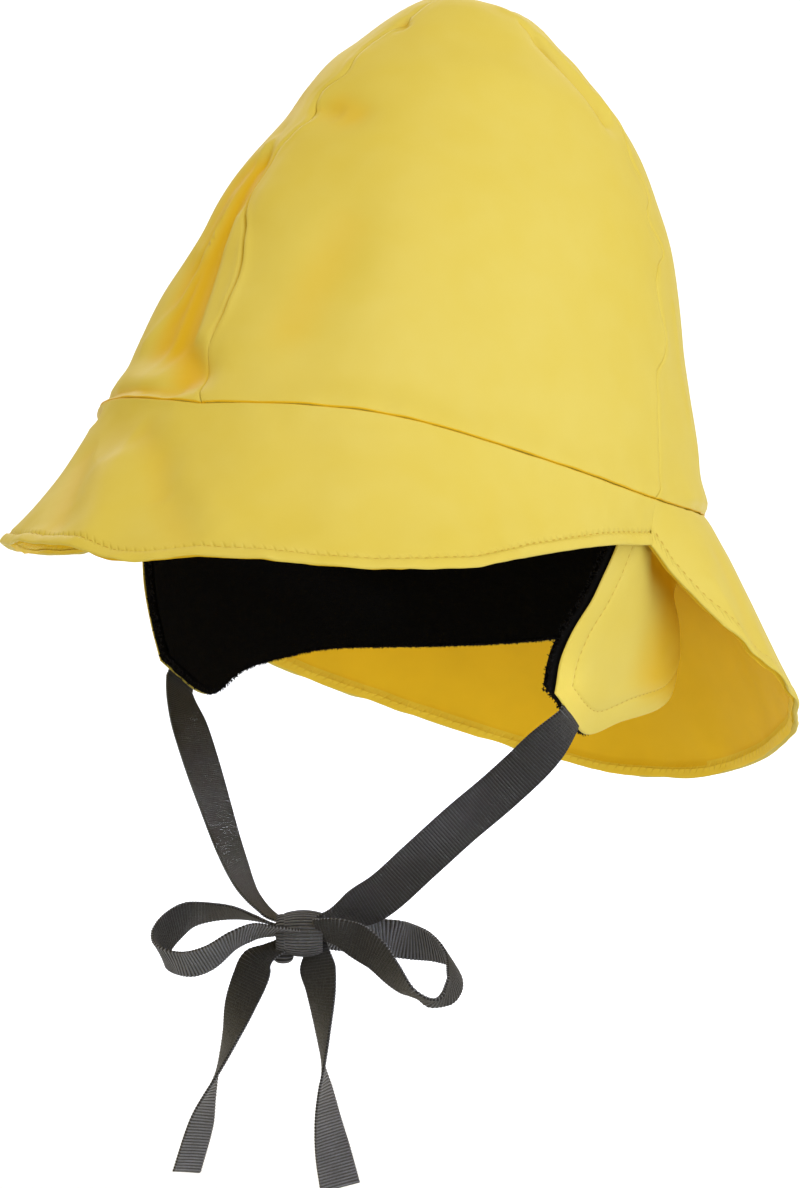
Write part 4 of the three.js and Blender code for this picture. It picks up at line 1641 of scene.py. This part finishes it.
# Lamps: where each stands and what it aims at, by azimuth, rise and distance in metres, its size
# in metres, its watts, the spread of its light in degrees, and its colour
HAT_MIDDLE = (0, 0, 0)
LAMPS = table(
    "name place aim size watts spread colour",
    ("key", (48, 44, 1.8), HAT_MIDDLE, 1.3, 12, 180, (0.95, 1.0, 1.2)),
    ("front", (70, 8, 1.8), HAT_MIDDLE, 1.2, 6, 180, (0.96, 1, 1.15)),
    ("low", (108, -3, 1.8), HAT_MIDDLE, 1.0, 5, 180, (0.96, 1, 1.15)),
    ("left", (-30, 10, 1.8), HAT_MIDDLE, 1.2, 1.6, 180, (1, 0.9, 0.6)),
    ("side", (120, 24, 1.8), HAT_MIDDLE, 1.0, 2, 180, (0.96, 1, 1.15)),
    ("rim", (250, 42, 1.8), HAT_MIDDLE, 1.4, 2.5, 180, (0.95, 1, 1.1)),
    ("strap", (80, 2, 0.6), (-37.5, -62.4, 0.117), 0.03, 0.014, 8, (0.97, 1, 1.05)),
    ("backdrop", (215, 30, 2.6), (215, -14, 3.2), 2.4, 85, 180, (0.92, 0.96, 1.1)),
)


def lay_floor(scene):
    bm = bmesh.new()
    bmesh.ops.create_grid(bm, x_segments=1, y_segments=24, size=1)
    turn = Matrix.Rotation(math.radians(CAMERA_AZIMUTH), 3, "Z")
    for vert in bm.verts:
        far = (vert.co.y + 1) / 2
        bend = max(0.0, far - 0.5) * math.pi
        away = FLOOR_NEAR + FLOOR_DEEP * min(far, 0.5) * 2 + BEND_DEEP * math.sin(bend)
        level = FLOOR_LEVEL + BEND_HIGH * (1 - math.cos(bend))
        vert.co = (turn @ Vector((vert.co.x * FLOOR_HALF_WIDTH, away, level))) * 0.001
    mesh = bpy.data.meshes.new("floor")
    bm.to_mesh(mesh)
    bm.free()
    mesh.polygons.foreach_set("use_smooth", [True] * len(mesh.polygons))
    mesh.materials.append(LOOKS["floor"])
    floor = bpy.data.objects.new("floor", mesh)
    scene.collection.objects.link(floor)


def light_hat(scene):
    world = bpy.data.worlds.new("Studio")
    world.use_nodes = True
    sky = world.node_tree.nodes["Background"]
    sky.inputs["Color"].default_value = WORLD_COLOUR
    sky.inputs["Strength"].default_value = WORLD_STRENGTH
    scene.world = world
    scene.view_settings.view_transform = "Standard"
    for row in LAMPS:
        lamp = bpy.data.lights.new(row["name"], "AREA")
        lamp.size = row["size"]
        lamp.spread = math.radians(row["spread"])
        lamp.energy = row["watts"]
        lamp.color = row["colour"]
        light = bpy.data.objects.new(row["name"], lamp)
        light.location = polar(*row["place"])
        light.rotation_euler = (light.location - polar(*row["aim"])).to_track_quat("Z", "Y").to_euler()
        scene.collection.objects.link(light)


def place_camera(scene):
    """The camera at the photo's viewing angle."""
    back = polar(CAMERA_AZIMUTH, CAMERA_RISE, 1)
    right = polar(CAMERA_AZIMUTH + 90, 0, 1)
    up = back.cross(right)
    data = bpy.data.cameras.new("camera")
    data.sensor_fit = "VERTICAL"
    data.sensor_height = SENSOR_HEIGHT
    data.lens = LENS
    camera = bpy.data.objects.new("camera", data)
    place = back * CAMERA_AWAY - right * CAMERA_LEFT - up * CAMERA_LOW
    camera.matrix_world = Matrix.Translation(place) @ Matrix((right, up, back)).transposed().to_4x4()
    scene.collection.objects.link(camera)
    scene.camera = camera


class HAT_OT_stage(bpy.types.Operator):
    """Set the pale floor, the soft lights and the camera"""

    bl_idname = "rain_hat.stage"
    bl_label = "Stage"

    def execute(self, context):
        lay_floor(context.scene)
        light_hat(context.scene)
        place_camera(context.scene)
        return {"FINISHED"}


class HAT_PT_panel(bpy.types.Panel):
    """Lists the steps of the hat"""

    bl_idname = "HAT_PT_panel"
    bl_label = "Rain hat"
    bl_space_type = "VIEW_3D"
    bl_region_type = "UI"
    bl_category = "Rain hat"

    def draw(self, context):
        for group in (context.scene.rain_hat_sizes, context.scene.rain_hat_colours):
            for name in group.__annotations__:
                self.layout.prop(group, name)
        for operator in OPERATORS:
            self.layout.operator(operator.bl_idname)


OPERATORS = (HAT_OT_crown, HAT_OT_brims, HAT_OT_band, HAT_OT_strap, HAT_OT_bow, HAT_OT_stage)
CLASSES = (RainHatSizes, RainHatColours, *OPERATORS, HAT_PT_panel)


def register():
    for cls in CLASSES:
        bpy.utils.register_class(cls)
    bpy.types.Scene.rain_hat_sizes = PointerProperty(type=RainHatSizes)
    bpy.types.Scene.rain_hat_colours = PointerProperty(type=RainHatColours)


def unregister():
    del bpy.types.Scene.rain_hat_colours
    del bpy.types.Scene.rain_hat_sizes
    for cls in reversed(CLASSES):
        bpy.utils.unregister_class(cls)


def main():
    register()
    make_looks()
    bpy.ops.rain_hat.crown()
    bpy.ops.rain_hat.brims()
    bpy.ops.rain_hat.band()
    bpy.ops.rain_hat.strap()
    bpy.ops.rain_hat.bow()
    bpy.ops.rain_hat.stage()


if __name__ == "__main__":
    main()
